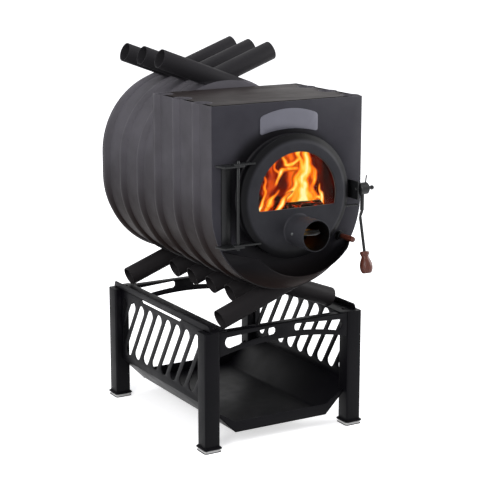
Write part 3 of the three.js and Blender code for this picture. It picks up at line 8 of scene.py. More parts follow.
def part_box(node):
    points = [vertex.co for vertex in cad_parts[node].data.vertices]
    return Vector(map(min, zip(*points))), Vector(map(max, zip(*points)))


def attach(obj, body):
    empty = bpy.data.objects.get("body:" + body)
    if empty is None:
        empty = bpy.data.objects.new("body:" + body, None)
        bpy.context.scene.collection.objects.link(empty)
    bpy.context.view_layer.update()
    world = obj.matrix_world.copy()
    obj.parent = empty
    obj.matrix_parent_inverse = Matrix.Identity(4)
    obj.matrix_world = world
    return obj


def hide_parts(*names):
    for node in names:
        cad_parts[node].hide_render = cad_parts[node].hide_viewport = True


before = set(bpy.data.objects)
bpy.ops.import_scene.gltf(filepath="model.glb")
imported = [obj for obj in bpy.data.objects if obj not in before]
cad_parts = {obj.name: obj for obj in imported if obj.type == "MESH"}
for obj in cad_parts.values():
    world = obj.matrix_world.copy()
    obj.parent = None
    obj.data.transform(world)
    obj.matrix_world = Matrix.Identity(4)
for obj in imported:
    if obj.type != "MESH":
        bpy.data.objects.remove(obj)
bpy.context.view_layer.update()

# The air tubes: twelve lengths of 60 mm steel tube, bent on a mandrel round the belly.
# Each stands in the wall and leaves it straight, crossing its neighbours. They have the
# same sprayed heat-proof paint as the wall: satin, a little chalky, browner and darker towards the
# floor.

MM = 0.001
FRONT_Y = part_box("front_plate")[0].y       # the front plate's face, from which depths count
TO_FRAME = Matrix.Translation((0, FRONT_Y, 0)) @ Matrix.Scale(MM, 4)
TOP_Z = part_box("cook_top")[1].z / MM
TOP_RISE, ARC_RISE = 303, 72               # the cook top and the rear arc's centre above the belly's
BELLY_Z = TOP_Z - TOP_RISE
ARC_TOP_Z = BELLY_Z + ARC_RISE
CASING_R, FLOOR_HALF = 255, 73             # the casing's sheet, and where it ends at the floor
RING, TUBE_R, TUBE_WALL = 234, 30, 3
LEAVE = math.asin(82 / RING)               # angle at which a tube leaves the wall's arc
LONG_FOOT, SHORT_FOOT, TOP_REACH = -212, -108, 296
FIRST_Y, PITCH = 34.3, 60.5
QUARTER = math.pi / 2


def linear(text):
    """An sRGB hex colour as linear red, green, blue and a full alpha."""
    parts = [int(text[i:i + 2], 16) / 255 for i in (0, 2, 4)]
    return [p / 12.92 if p <= 0.04045 else ((p + 0.055) / 1.055) ** 2.4 for p in parts] + [1]


def add_node(tree, kind, settings=None, links=None):
    """A node with its settings, and links from other nodes' outputs into its inputs."""
    node = tree.nodes.new(kind)
    for key, value in (settings or {}).items():
        if isinstance(key, str) and hasattr(node, key):
            setattr(node, key, value)
        else:
            node.inputs[key].default_value = value
    for key, output in (links or {}).items():
        tree.links.new(output, node.inputs[key])
    return node


def new_material(name):
    """An empty material with its output and its object coordinates, in metres."""
    made = bpy.data.materials.new(name)
    made.use_nodes = True
    tree = made.node_tree
    tree.nodes.clear()
    out = add_node(tree, "ShaderNodeOutputMaterial")
    place = add_node(tree, "ShaderNodeTexCoord").outputs["Object"]
    return made, tree, out, place


def coated(name, base, patch, rough, grain_mm, depth_mm, patch_mm=90, bands=(), rings=(), gloss=0.5):
    """Sprayed paint or powder: a base tone with cloudy patches and a fine grain that takes
    the light unevenly. A band is a tone that is full at one height and gone at another, and
    a ring is one that is full at one distance from a point of the front and gone at another."""
    made, tree, out, place = new_material(name)
    clouds = add_node(tree, "ShaderNodeTexNoise",
                      {"Scale": 1 / (patch_mm * MM), "Detail": 3, "Roughness": 0.55}, {"Vector": place})
    even = add_node(tree, "ShaderNodeMapRange", {"From Min": 0.35, "From Max": 0.68},
                    {"Value": clouds.outputs["Fac"]})
    tone = add_node(tree, "ShaderNodeMix", {"data_type": "RGBA", 6: linear(base), 7: linear(patch)},
                    {"Factor": even.outputs["Result"]})
    colour = tone.outputs[2]
    height = add_node(tree, "ShaderNodeSeparateXYZ", links={"Vector": place})
    # bands and rings lay tints over the tone; several finishes below use them for painted shade
    tints = [(tint, height.outputs["Z"], full, gone) for tint, full, gone in bands]
    for tint, x, z, full, gone in rings:
        apart = add_node(tree, "ShaderNodeVectorMath", {"operation": "MULTIPLY_ADD", 1: (1, 0, 1),
                                                        2: (-x * MM, 0, -z * MM)}, {0: place})
        radius = add_node(tree, "ShaderNodeVectorMath", {"operation": "LENGTH"}, {0: apart.outputs[0]})
        tints.append((tint, radius.outputs["Value"], full, gone))
    for tint, where, full, gone in tints:
        share = add_node(tree, "ShaderNodeMapRange",
                         {"interpolation_type": "SMOOTHSTEP", "From Min": full * MM,
                          "From Max": gone * MM, "To Min": 1, "To Max": 0}, {"Value": where})
        colour = add_node(tree, "ShaderNodeMix", {"data_type": "RGBA", 7: linear(tint)},
                          {"Factor": share.outputs["Result"], 6: colour}).outputs[2]
    grain = add_node(tree, "ShaderNodeTexNoise",
                     {"Scale": 1 / (grain_mm * MM), "Detail": 2, "Roughness": 0.6}, {"Vector": place})
    shine = add_node(tree, "ShaderNodeMapRange",
                     {"From Min": 0.3, "From Max": 0.7, "To Min": rough - 0.05, "To Max": rough + 0.07},
                     {"Value": clouds.outputs["Fac"]})
    bump = add_node(tree, "ShaderNodeBump", {"Strength": 0.6, "Distance": depth_mm * MM},
                    {"Height": grain.outputs["Fac"]})
    shader = add_node(tree, "ShaderNodeBsdfPrincipled", {"IOR": 1.5, "Specular IOR Level": gloss},
                      {"Base Color": colour, "Roughness": shine.outputs["Result"],
                       "Normal": bump.outputs["Normal"]})
    tree.links.new(shader.outputs[0], out.inputs["Surface"])
    return made


def is_edge(item):
    return isinstance(item, bmesh.types.BMEdge)


def is_vert(item):
    return isinstance(item, bmesh.types.BMVert)


def push(mesh, loop, matrix):
    """Extrudes a chain of edges and moves its new end. Returns the new chain."""
    made = bmesh.ops.extrude_edge_only(mesh, edges=loop)["geom"]
    verts = [g for g in made if is_vert(g)]
    bmesh.ops.transform(mesh, matrix=matrix, verts=verts)
    kept = set(verts)
    return [g for g in made if is_edge(g) and kept.issuperset(g.verts)]


def bend(mesh, loop, centre, axis, angle, steps):
    """Carries a chain of edges, or one vertex, round an axis. Returns the last copy."""
    ends = list({v for e in loop for v in e.verts}) if is_edge(loop[0]) else []
    last = bmesh.ops.spin(mesh, geom=loop + ends, cent=centre, axis=axis, dvec=(0, 0, 0),
                          angle=angle, steps=steps, use_merge=False, use_duplicate=False)["geom_last"]
    kind = is_edge if is_edge(loop[0]) else is_vert
    return [g for g in last if kind(g)]


def shift(x=0, y=0, z=0):
    """A move along the axes."""
    return Matrix.Translation((x, y, z))


def finish_piece(name, mesh, material, body="stove", nodes=(), smooth=28, wall=0, edge=0):
    """Turns a mesh in millimetres into a piece that rides on a body of the stove."""
    bmesh.ops.remove_doubles(mesh, verts=mesh.verts, dist=0.001)
    bmesh.ops.recalc_face_normals(mesh, faces=mesh.faces)
    bmesh.ops.transform(mesh, matrix=TO_FRAME, verts=mesh.verts)
    data = bpy.data.meshes.new(name)
    mesh.to_mesh(data)
    mesh.free()
    data.polygons.foreach_set("use_smooth", [True] * len(data.polygons))
    data.set_sharp_from_angle(angle=math.radians(smooth))
    piece = bpy.data.objects.new(name, data)
    bpy.context.scene.collection.objects.link(piece)
    data.materials.append(material)
    if wall:
        shell = piece.modifiers.new("wall", "SOLIDIFY")
        shell.thickness = wall * MM
        shell.offset = -1
    if edge:
        round_off = piece.modifiers.new("edge", "BEVEL")
        round_off.width = edge * MM
        round_off.segments = 2
        round_off.limit_method = "ANGLE"
        round_off.angle_limit = math.radians(50)
    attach(piece, body)
    if nodes:
        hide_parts(*nodes)
    return piece


def climb(mesh, loop, is_front, end_run):
    """Carries a section up the right wall: the belly's arc, the straight side and, in
    the rear part, the arc over the top and a straight run beyond it."""
    start = LEAVE if end_run is not None else math.asin(FLOOR_HALF / CASING_R)
    turn = QUARTER - start
    loop = bend(mesh, loop, (0, 0, BELLY_Z), (0, -1, 0), turn, 20)
    if is_front:
        return push(mesh, loop, shift(z=TOP_Z - BELLY_Z))
    loop = push(mesh, loop, shift(z=ARC_TOP_Z - BELLY_Z))
    loop = bend(mesh, loop, (0, 0, ARC_TOP_Z), (0, -1, 0), turn, 20)
    if end_run:
        loop = push(mesh, loop, shift(-end_run * math.cos(LEAVE), 0, end_run * math.sin(LEAVE)))
    return loop


# silicone paint, sprayed: dull satin with faint clouds, browner and darker towards the floor,
# and the parts of the tubes that stand clear of the casing are darker
wall_paint = coated("heat_proof_paint_wall", "57555a", "4f4d51", 0.5, 1.6, 0.12, gloss=0.05,
                    bands=(("211917", 560, 860), ("262425", 500, 520)))
tube_paint = coated("heat_proof_paint_tube", "57555a", "4f4d51", 0.5, 1.6, 0.12, gloss=0.05,
                    bands=(("211917", 560, 860), ("262425", 500, 520), ("282729", 1056, 1040)))

for side, turn, offset, last_foot in (("right", 1, 0, 5), ("left", -1, 1, 4)):
    for i in range(6):
        low_x = LONG_FOOT if i in (0, last_foot) else SHORT_FOOT
        along = Vector((math.cos(LEAVE), 0, math.sin(LEAVE)))
        leave = Vector((RING * math.sin(LEAVE), 0, BELLY_Z - RING * math.cos(LEAVE)))
        run = (leave.x - low_x) / along.x
        tube = bmesh.new()
        face = Matrix.Translation(leave - along * run) @ along.to_track_quat("Z",
                                                                             "Y").to_matrix().to_4x4()
        rim = bmesh.ops.create_circle(tube, segments=40, radius=TUBE_R, matrix=face)["verts"]
        loop = list({e for v in rim for e in v.link_edges})
        loop = push(tube, loop, Matrix.Translation(along * run))
        climb(tube, loop, i < 3, TOP_REACH / along.x)
        bmesh.ops.transform(tube, verts=tube.verts, matrix=shift(y=FIRST_Y + (2 * i + offset) * PITCH)
                            @ Matrix.Diagonal((turn, 1, 1, 1)))
        node = f"tube_{side}_{i + 1}"
        finish_piece("air_" + node, tube, wall_paint if i < 3 else tube_paint,
                     nodes=[node], wall=TUBE_WALL, edge=0.7)

# The casing: strips of 3 mm sheet, rolled to the belly and welded in between the tubes.
# In the front part they stand straight up to the cook top, and in the rear part they
# close over in an arc. The front and rear parts meet at the divider.

STRIP_INTO_TUBE = 21                       # a strip's edge from the middle of its tube
PLATE_T = 4
DIVIDER_Y = FIRST_Y + 5.5 * PITCH
REAR_Y = FIRST_Y + 11 * PITCH + 30.3


def put_in(mesh, other, matrix):
    """Moves another mesh into place and adds it to this one."""
    bmesh.ops.transform(other, verts=other.verts, matrix=matrix)
    holder = bpy.data.meshes.new("holder")
    other.to_mesh(holder)
    mesh.from_mesh(holder)
    bpy.data.meshes.remove(holder)
    other.free()


for part, is_front, y_from, y_to in (("front", True, PLATE_T, DIVIDER_Y),
                                     ("rear", False, DIVIDER_Y, REAR_Y)):
    casing = bmesh.new()
    for turn, offset in ((1, 0), (-1, 1)):
        edges = [y_from]
        for i in range(6):
            tube_y = FIRST_Y + (2 * i + offset) * PITCH
            if y_from < tube_y < y_to:
                edges += [tube_y - STRIP_INTO_TUBE, tube_y + STRIP_INTO_TUBE]
        edges.append(y_to)
        for low, high in zip(edges[::2], edges[1::2]):
            if high - low < 1:
                continue
            strip = bmesh.new()
            start = math.asin(FLOOR_HALF / CASING_R)
            x, z = CASING_R * math.sin(start), BELLY_Z - CASING_R * math.cos(start)
            ends = [strip.verts.new((x, y, z)) for y in (low, high)]
            climb(strip, [strip.edges.new(ends)], is_front, None)
            bmesh.ops.recalc_face_normals(strip, faces=strip.faces)
            # an open strip is turned so that its faces look away from the belly
            middle = strip.faces[:][len(strip.faces) // 4]
            if middle.normal.x < 0:
                bmesh.ops.reverse_faces(strip, faces=strip.faces)
            bmesh.ops.solidify(strip, geom=strip.faces, thickness=3)
            put_in(casing, strip, Matrix.Diagonal((turn, 1, 1, 1)))
    finish_piece("casing_" + part, casing, wall_paint,
                 nodes=[f"casing_right_{part}", f"casing_left_{part}"])

# The front plate: one 4 mm sheet, cut flat along the top and round along the belly, with
# the fire door's round opening. A short collar is welded round the opening, and the
# door's rope presses on it.

DOOR_Z = BELLY_Z + 30
COLLAR_R = 168
SLIDE_X, SLIDE_Z = 178, BELLY_Z - 111


def outline(mesh, x, z, moves, y=0):
    """Draws a closed line in a plane of constant Y: a move is a point, or a centre with
    an angle in degrees to turn about it."""
    first = mesh.verts.new((x, y, z))
    spot = first
    for move in moves:
        if len(move) == 2:
            made = bmesh.ops.extrude_vert_indiv(mesh, verts=[spot])["verts"][0]
            made.co = (move[0], y, move[1])
            spot = made
        else:
            cx, cz, degrees = move
            steps = max(3, int(abs(degrees) / 3.2) if (spot.co - Vector((cx, y, cz))).length > 40
                        else int(abs(degrees) / 12))
            spot = bend(mesh, [spot], (cx, y, cz), (0, -1, 0), math.radians(degrees), steps)[0]
    if (spot.co - first.co).length > 0.01:
        mesh.edges.new((spot, first))


def circle(mesh, x, z, radius, y=0, segments=96):
    """Draws a ring in a plane of constant Y."""
    bmesh.ops.create_circle(mesh, segments=segments, radius=radius,
                            matrix=shift(x, y, z) @ Matrix.Rotation(QUARTER, 4, "X"))


def fill(mesh, thickness, edge=0.6):
    """Fills the drawn lines, holes left open, makes the face a plate towards the back
    and breaks its sharp edges."""
    bmesh.ops.remove_doubles(mesh, verts=mesh.verts, dist=0.005)
    faces = bmesh.ops.triangle_fill(mesh, edges=mesh.edges, use_beauty=True, normal=(0, -1, 0))["geom"]
    faces = [g for g in faces if isinstance(g, bmesh.types.BMFace)]
    made = bmesh.ops.extrude_face_region(mesh, geom=faces)["geom"]
    bmesh.ops.translate(mesh, verts=[g for g in made if is_vert(g)], vec=(0, thickness, 0))
    bmesh.ops.recalc_face_normals(mesh, faces=mesh.faces)
    if edge:
        break_edges(mesh, edge)


def break_edges(mesh, width, segments=2, angle=50):
    """Bevels the edges that turn by more than an angle in degrees."""
    sharp = [e for e in mesh.edges if len(e.link_faces) == 2
             and e.calc_face_angle(0) > math.radians(angle)]
    bmesh.ops.bevel(mesh, geom=sharp, offset=width, offset_type="OFFSET", segments=segments,
                    profile=0.5, affect="EDGES", clamp_overlap=True, material=-1)


def turned(mesh, profile, centre, axis="Y", steps=96):
    """Spins a closed profile of (radius, place along the axis) full round an axis."""
    before = set(mesh.verts)
    verts = [mesh.verts.new((r, h, 0)) for r, h in profile]
    edges = [mesh.edges.new(pair) for pair in zip(verts, verts[1:] + verts[:1])
             if pair[0].co.x > 1e-6 or pair[1].co.x > 1e-6]
    bmesh.ops.spin(mesh, geom=verts + edges, cent=(0, 0, 0), axis=(0, 1, 0), dvec=(0, 0, 0),
                   angle=2 * math.pi, steps=steps, use_merge=True)
    made = [v for v in mesh.verts if v not in before]
    bmesh.ops.remove_doubles(mesh, verts=made, dist=0.0005)
    made = [v for v in mesh.verts if v not in before]
    way = {"Y": Matrix.Identity(4), "X": Matrix.Rotation(-QUARTER, 4, "Z"),
           "Z": Matrix.Rotation(QUARTER, 4, "X")}[axis]
    bmesh.ops.transform(mesh, verts=made, matrix=Matrix.Translation(centre) @ way)
    return made


# the walls' paint on the front sheet: darker below, a painted shade between the door and the scoop, and
# a painted shadow round the opening, set off to the left
front_paint = coated("heat_proof_paint_front", "3c3b41", "35343a", 0.5, 1.6, 0.1, gloss=0.12,
                     bands=(("1a1718", 520, 650),), rings=(("141316", -16, DOOR_Z, 186, 224),))
plate = bmesh.new()
outline(plate, -CASING_R, TOP_Z, [(CASING_R, TOP_Z), (CASING_R, BELLY_Z), (0, BELLY_Z, -180)])
circle(plate, 0, DOOR_Z, COLLAR_R)
circle(plate, SLIDE_X, SLIDE_Z, 8, segments=24)
fill(plate, PLATE_T)
finish_piece("front_sheet", plate, front_paint, nodes=["front_plate"])

collar = bmesh.new()
turned(collar, [(COLLAR_R, -0.3), (COLLAR_R, -21), (COLLAR_R + 1, -22), (COLLAR_R + 7, -22),
                (COLLAR_R + 8, -21), (COLLAR_R + 8, -4), (COLLAR_R + 12, -0.3)], (0, 0, DOOR_Z))
finish_piece("opening_collar", collar, front_paint, nodes=["door_collar"])

# The cook top: a 6 mm plate let in between the walls, which the front tubes pass. It
# browns first, because it is the hottest sheet. Along the front and the sides its joint is
# painted near black as the shade in the gap, and shows as a dark line.

TOP_T = 6
GAP_SHADE_X, GAP_SHADE_DEPTH = 240.5, 16.5       # the painted shade of the joint lies outside of these, at side and front
# the walls' paint, browned by the heat and nearly without sheen, beside the joint's near-black painted
# shade
top_paint = coated("heat_proof_paint_browned", "292424", "231f1f", 0.5, 1.4, 0.08, patch_mm=120,
                   gloss=0.07)
tree, out = top_paint.node_tree, top_paint.node_tree.nodes["Material Output"]
place = tree.nodes["Texture Coordinate"].outputs["Object"]
spot = add_node(tree, "ShaderNodeSeparateXYZ", links={"Vector": place})
across = add_node(tree, "ShaderNodeMath", {"operation": "ABSOLUTE"}, {0: spot.outputs["X"]})
sides = add_node(tree, "ShaderNodeMath", {"operation": "GREATER_THAN", 1: GAP_SHADE_X * MM},
                 {0: across.outputs[0]})
front = add_node(tree, "ShaderNodeMath", {"operation": "LESS_THAN", 1: FRONT_Y + GAP_SHADE_DEPTH * MM},
                 {0: spot.outputs["Y"]})
joint = add_node(tree, "ShaderNodeMath", {"operation": "MAXIMUM"},
                 {0: sides.outputs[0], 1: front.outputs[0]})
# the shade in the joint, painted as a dull near-black
gap_shade = add_node(tree, "ShaderNodeBsdfDiffuse", {"Color": linear("0b0a0a")})
gap_shaded = add_node(tree, "ShaderNodeMixShader", links={
    0: joint.outputs[0], 1: out.inputs["Surface"].links[0].from_socket, 2: gap_shade.outputs[0]})
tree.links.new(gap_shaded.outputs[0], out.inputs["Surface"])
top = bmesh.new()
front_y, back_y, side_x, notch = 6.3, DIVIDER_Y - 1.8, 250, 30.6
half_gap = math.sqrt(notch ** 2 - (side_x - RING) ** 2)
wide = 360 - 2 * math.degrees(math.acos((side_x - RING) / notch))
corner = math.sqrt(notch ** 2 - (FIRST_Y - front_y) ** 2)
start_angle = math.atan2(front_y - FIRST_Y, -corner)
end_angle = math.atan2(half_gap, side_x - RING)
first_turn = -((start_angle - end_angle) % (2 * math.pi))
moves = [(RING, FIRST_Y, math.degrees(first_turn))]
for k in (2, 4):
    tube_y = FIRST_Y + k * PITCH
    moves += [(side_x, tube_y - half_gap), (RING, tube_y, -wide)]
moves += [(side_x, back_y)]
last_y = FIRST_Y + 5 * PITCH
back_corner = math.sqrt(notch ** 2 - (back_y - last_y) ** 2)
moves += [(back_corner - RING, back_y)]
last_start = math.atan2(back_y - last_y, back_corner)
last_end = math.atan2(-half_gap, RING - side_x)
moves += [(-RING, last_y, -math.degrees((last_start - last_end) % (2 * math.pi)))]
for k in (3, 1):
    tube_y = FIRST_Y + k * PITCH
    moves += [(-side_x, tube_y + half_gap), (-RING, tube_y, -wide)]
moves += [(-side_x, front_y)]
outline(top, RING - corner, front_y, moves)
fill(top, TOP_T, edge=0.8)
LAID_DOWN = Matrix(((1, 0, 0, 0), (0, 0, 1, 0), (0, 1, 0, 0), (0, 0, 0, 1)))
bmesh.ops.transform(top, verts=top.verts, matrix=shift(z=TOP_Z - TOP_T) @ LAID_DOWN)
finish_piece("cooking_plate", top, top_paint, nodes=["cook_top"])

# The divider: a sheet frame that closes the step between the flat cook top and the round
# rear part. Only a thin crescent of it shows above the cook top.

step_angle = math.degrees(math.asin((TOP_RISE - ARC_RISE) / CASING_R))
step_x = CASING_R * math.cos(math.radians(step_angle))
divider = bmesh.new()
rim_x = CASING_R - 0.2
outline(divider, rim_x, BELLY_Z, [
    (0, BELLY_Z, -180), (-rim_x, TOP_Z - 0.2), (-step_x, TOP_Z - 0.2),
    (0, ARC_TOP_Z, 2 * step_angle - 180), (rim_x, TOP_Z - 0.2)], y=DIVIDER_Y - 1.5)
outline(divider, 204, BELLY_Z, [(0, BELLY_Z, -180), (-204, ARC_TOP_Z), (0, ARC_TOP_Z, -180)],
        y=DIVIDER_Y - 1.5)
fill(divider, 3, edge=0.5)
finish_piece("divider_frame", divider, wall_paint, nodes=["divider_plate"])

# The rear plate closes the back, and the flue spigot is welded into it: a 120 mm sheet
# tube with a rolled bead that a stove pipe slips over.

FLUE_Z = BELLY_Z + 236
# the walls' paint again, without the painted shadow round the opening, and browner and darker towards
# the floor
rear_paint = coated("heat_proof_paint_rear", "3c3b41", "35343a", 0.5, 1.6, 0.1, gloss=0.12,
                    bands=(("1c1514", 540, 700),))
rear = bmesh.new()
outline(rear, CASING_R, BELLY_Z, [(0, BELLY_Z, -180), (-CASING_R, ARC_TOP_Z), (0, ARC_TOP_Z, -180)],
        y=REAR_Y)
circle(rear, 0, FLUE_Z, 58, y=REAR_Y)
fill(rear, PLATE_T)
finish_piece("rear_sheet", rear, rear_paint, nodes=["rear_plate"])

spigot = bmesh.new()
turned(spigot, [(58, 734.4), (63.5, 734.4), (61, 737), (60, 741), (60, 829), (61.6, 831), (62, 833),
                (61.6, 835), (60, 837), (60, 853.6), (59.4, 854.4), (58.4, 854.4), (58, 853.8)],
       (0, 0, FLUE_Z))
finish_piece("pipe_spigot", spigot, rear_paint, nodes=["flue_spigot"])

# The cast pieces inside, the grate, the baffle and the flue's damper, keep their shapes.
# They are black cast iron with a sandy skin, and the grate lies loose on the tubes.

cast_iron = coated("cast_iron_black", "151516", "111112", 0.55, 1.1, 0.16, patch_mm=45, gloss=0.15)
for node in ("grate", "baffle_plate", "flue_damper"):
    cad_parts[node].material_slots[0].material = cast_iron

# The plain arched plate: a 2 mm sheet of light grey metal with rounded corners, left
# blank, and held flat on the front plate over the door. It is brushed along its length.

brushed, tree, out, place = new_material("brushed_light_grey_metal")
stretch = add_node(tree, "ShaderNodeMapping", {"Scale": (0.02, 1, 1)}, {"Vector": place})
lines = add_node(tree, "ShaderNodeTexNoise", {"Scale": 1 / (0.9 * MM), "Detail": 2},
                 {"Vector": stretch.outputs[0]})
smudge = add_node(tree, "ShaderNodeTexNoise", {"Scale": 1 / (45 * MM), "Detail": 3}, {"Vector": place})
tone = add_node(tree, "ShaderNodeMix", {"data_type": "RGBA", 6: linear("6b6b75"), 7: linear("61616a")},
                {"Factor": smudge.outputs["Fac"]})
shine = add_node(tree, "ShaderNodeMapRange", {"To Min": 0.36, "To Max": 0.5},
                 {"Value": lines.outputs["Fac"]})
bump = add_node(tree, "ShaderNodeBump", {"Strength": 0.4, "Distance": 0.03 * MM},
                {"Height": lines.outputs["Fac"]})
shader = add_node(tree, "ShaderNodeBsdfPrincipled", {"Metallic": 0.35, "IOR": 1.5},
                  {"Base Color": tone.outputs[2], "Roughness": shine.outputs[0],
                   "Normal": bump.outputs[0]})
tree.links.new(shader.outputs[0], out.inputs["Surface"])

half, high, low, low_centre = 98, 253, 346, DOOR_Z + 194 - 346
high_turn = math.degrees(math.asin(half / high))
low_turn = math.degrees(math.asin(half / low))


def round_corners(mesh, radius, where=lambda point: True, steps=5):
    """Rounds the corners of a drawn line where it turns by more than 40 degrees."""
    corners = []
    for vert in mesh.verts:
        if len(vert.link_edges) == 2 and where(vert.co):
            ways = [(e.other_vert(vert).co - vert.co).normalized() for e in vert.link_edges]
            if ways[0].angle(ways[1]) < math.radians(140):
                corners.append(vert)
    bmesh.ops.bevel(mesh, geom=corners, offset=radius, offset_type="OFFSET", segments=steps,
                    profile=0.5, affect="VERTICES", clamp_overlap=True, material=-1)


blank = bmesh.new()
outline(blank, -half, DOOR_Z + math.sqrt(high ** 2 - half ** 2), [
    (0, DOOR_Z, -2 * high_turn), (half, low_centre + math.sqrt(low ** 2 - half ** 2)),
    (0, low_centre, 2 * low_turn)], y=-2.3)
bmesh.ops.remove_doubles(blank, verts=blank.verts, dist=0.01)
round_corners(blank, 9)
fill(blank, 2, edge=0.4)
finish_piece("blank_plate", blank, brushed, nodes=["arched_plate"])

# The ash lip: a scoop of 3 mm sheet below the door, a piece of a cone that is cut
# along the top and welded to the front plate.

# the walls' paint darkened to near black as painted shade: dead dull, and browner where the scoop meets
# the belly
shaded_scoop_paint = coated("heat_proof_paint_scoop_shaded", "19181a", "151416", 0.5, 1.6, 0.1, gloss=0.04,
                     bands=(("2c2422", 500, 570),))
scoop = bmesh.new()
ends = [scoop.verts.new((252, -0.3, BELLY_Z)), scoop.verts.new((200, -90, BELLY_Z))]
bmesh.ops.spin(scoop, geom=[*ends, scoop.edges.new(ends)], cent=(0, 0, BELLY_Z), axis=(0, 1, 0),
               dvec=(0, 0, 0), angle=math.pi, steps=72, use_merge=False)
bmesh.ops.bisect_plane(scoop, geom=[*scoop.verts, *scoop.edges, *scoop.faces], dist=0.001,
                       plane_co=(0, 0, BELLY_Z - 118), plane_no=(0, -13, 90), clear_outer=True)
bmesh.ops.recalc_face_normals(scoop, faces=scoop.faces)
if scoop.faces[:][0].normal.dot(scoop.faces[:][0].calc_center_median() - Vector((0, 0, BELLY_Z))) < 0:
    bmesh.ops.reverse_faces(scoop, faces=scoop.faces)
bmesh.ops.solidify(scoop, geom=scoop.faces, thickness=3)
break_edges(scoop, 0.6)
finish_piece("ash_scoop", scoop, shaded_scoop_paint, nodes=["ash_lip"])

# The door: a round casting with a bevelled rim. A half-moon window and a round air hole
# are cast into its face, and a channel at the back holds the rope that seals it.

AIR_Z = DOOR_Z - 96
WINDOW_R, CHORD = 133, 32


def half_moon(mesh, radius, drop, y, corner):
    """Draws the window's shape: a circle cut off flat below its middle, with round corners."""
    side = math.sqrt(radius ** 2 - drop ** 2)
    angle = math.degrees(math.asin(drop / radius))
    before = set(mesh.verts)
    outline(mesh, side, DOOR_Z - drop, [(0, DOOR_Z, 180 + 2 * angle)], y=y)
    made = [v for v in mesh.verts if v not in before]
    bmesh.ops.remove_doubles(mesh, verts=made, dist=0.01)
    round_corners(mesh, corner, lambda p: abs(p.z - DOOR_Z + drop) < 0.1 and abs(p.y - y) < 0.1)


# paint on cast iron: faintly pebbled, with near-black painted shade on the rim's bevel and at the foot,
# below the air tube
door_paint = coated("cast_door_paint", "37373b", "313135", 0.48, 1.2, 0.12, patch_mm=60, gloss=0.08,
                    bands=(("0e0e0f", DOOR_Z - 172, DOOR_Z - 104),),
                    rings=(("0d0d0f", 0, DOOR_Z, 172, 161),))
door = bmesh.new()
for y, rim in ((-53, 156), (-48, 155.5)):
    flat = bmesh.new()
    circle(flat, 0, DOOR_Z, rim, y=y)
    half_moon(flat, WINDOW_R, CHORD, y, 6)
    circle(flat, 0, AIR_Z, 46.3, y=y, segments=64)
    bmesh.ops.triangle_fill(flat, edges=flat.edges, use_beauty=True, normal=(0, -1, 0))
    put_in(door, flat, Matrix.Identity(4))
inside = [e for e in door.edges if len(e.link_faces) == 1
          and (e.verts[0].co - Vector((0, e.verts[0].co.y, DOOR_Z))).length < 150]
bmesh.ops.bridge_loops(door, edges=[e for e in inside if e.verts[0].co.z < AIR_Z + 46.5
                                    and e.verts[1].co.z < AIR_Z + 46.5])
bmesh.ops.bridge_loops(door, edges=[e for e in inside if e.is_valid and len(e.link_faces) == 1])
profile = [(156, -53), (159.5, -52.2), (182.6, -39.2), (184, -37), (184, -25), (183.2, -24),
           (179, -24), (179, -34), (166, -34), (166, -26), (163, -26), (163, -41), (155.5, -48)]
verts = [door.verts.new((r, y, DOOR_Z)) for r, y in profile]
edges = [door.edges.new(pair) for pair in zip(verts, verts[1:])]
bmesh.ops.spin(door, geom=verts + edges, cent=(0, 0, DOOR_Z), axis=(0, 1, 0), dvec=(0, 0, 0),
               angle=2 * math.pi, steps=96, use_merge=True)
bmesh.ops.remove_doubles(door, verts=door.verts, dist=0.01)
bmesh.ops.recalc_face_normals(door, faces=door.faces)
for degrees in (0, 60, 120, 180):          # the bosses that the window's frame is screwed to
    angle = math.radians(degrees)
    turned(door, [(0, -48.3), (3.8, -48.3), (3.8, -41.9), (0, -41.9)],
           (145.1 * math.cos(angle), 0, DOOR_Z + 145.1 * math.sin(angle)), steps=20)
finish_piece("door_casting", door, door_paint, "door", ["door_pan"], edge=0.9)

# The window: clear heat-proof glass on a thin gasket, clamped from inside by a sheet
# frame with four screws. The door's own seal is a round rope of dark glass fibre.

# ceramic glass: clear, with a breath of soot. Its IOR is far below the real 1.5, because the
# photograph shows no light mirrored in it and the fire behind it stands out bare.
glass, tree, out, place = new_material("heat_proof_glass")
soot = add_node(tree, "ShaderNodeTexNoise", {"Scale": 1 / (110 * MM), "Detail": 4}, {"Vector": place})
haze = add_node(tree, "ShaderNodeMapRange", {"From Min": 0.4, "From Max": 0.75, "To Min": 0.02,
                                             "To Max": 0.09},
                {"Value": soot.outputs["Fac"]})
shader = add_node(tree, "ShaderNodeBsdfPrincipled",
                  {"Base Color": linear("fbf8f2"), "Transmission Weight": 1, "IOR": 1.12},
                  {"Roughness": haze.outputs[0]})
tree.links.new(shader.outputs[0], out.inputs["Surface"])
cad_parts["window_glass"].material_slots[0].material = glass

# knitted glass fibre: dull dark grey, with slanting strands and a loose fluff
SEAL_R, STRAND_MM, SLANT_MM = 172.5, 4.2, 7
rope, tree, out, place = new_material("glass_fibre_rope")
centred = add_node(tree, "ShaderNodeVectorMath", {"operation": "SUBTRACT", 1: (0, 0, DOOR_Z * MM)},
                   {0: place})
apart = add_node(tree, "ShaderNodeSeparateXYZ", links={"Vector": centred.outputs[0]})
angle = add_node(tree, "ShaderNodeMath", {"operation": "ARCTAN2"},
                 {0: apart.outputs["Z"], 1: apart.outputs["X"]})
strands = add_node(tree, "ShaderNodeMath",
                   {"operation": "MULTIPLY", 1: round(2 * math.pi * SEAL_R / STRAND_MM)},
                   {0: angle.outputs[0]})
slant = add_node(tree, "ShaderNodeMath", {"operation": "MULTIPLY_ADD",
                                          1: 2 * math.pi / (SLANT_MM * MM)},
                 {0: apart.outputs["Y"], 2: strands.outputs[0]})
ridge = add_node(tree, "ShaderNodeMath", {"operation": "SINE"}, {0: slant.outputs[0]})
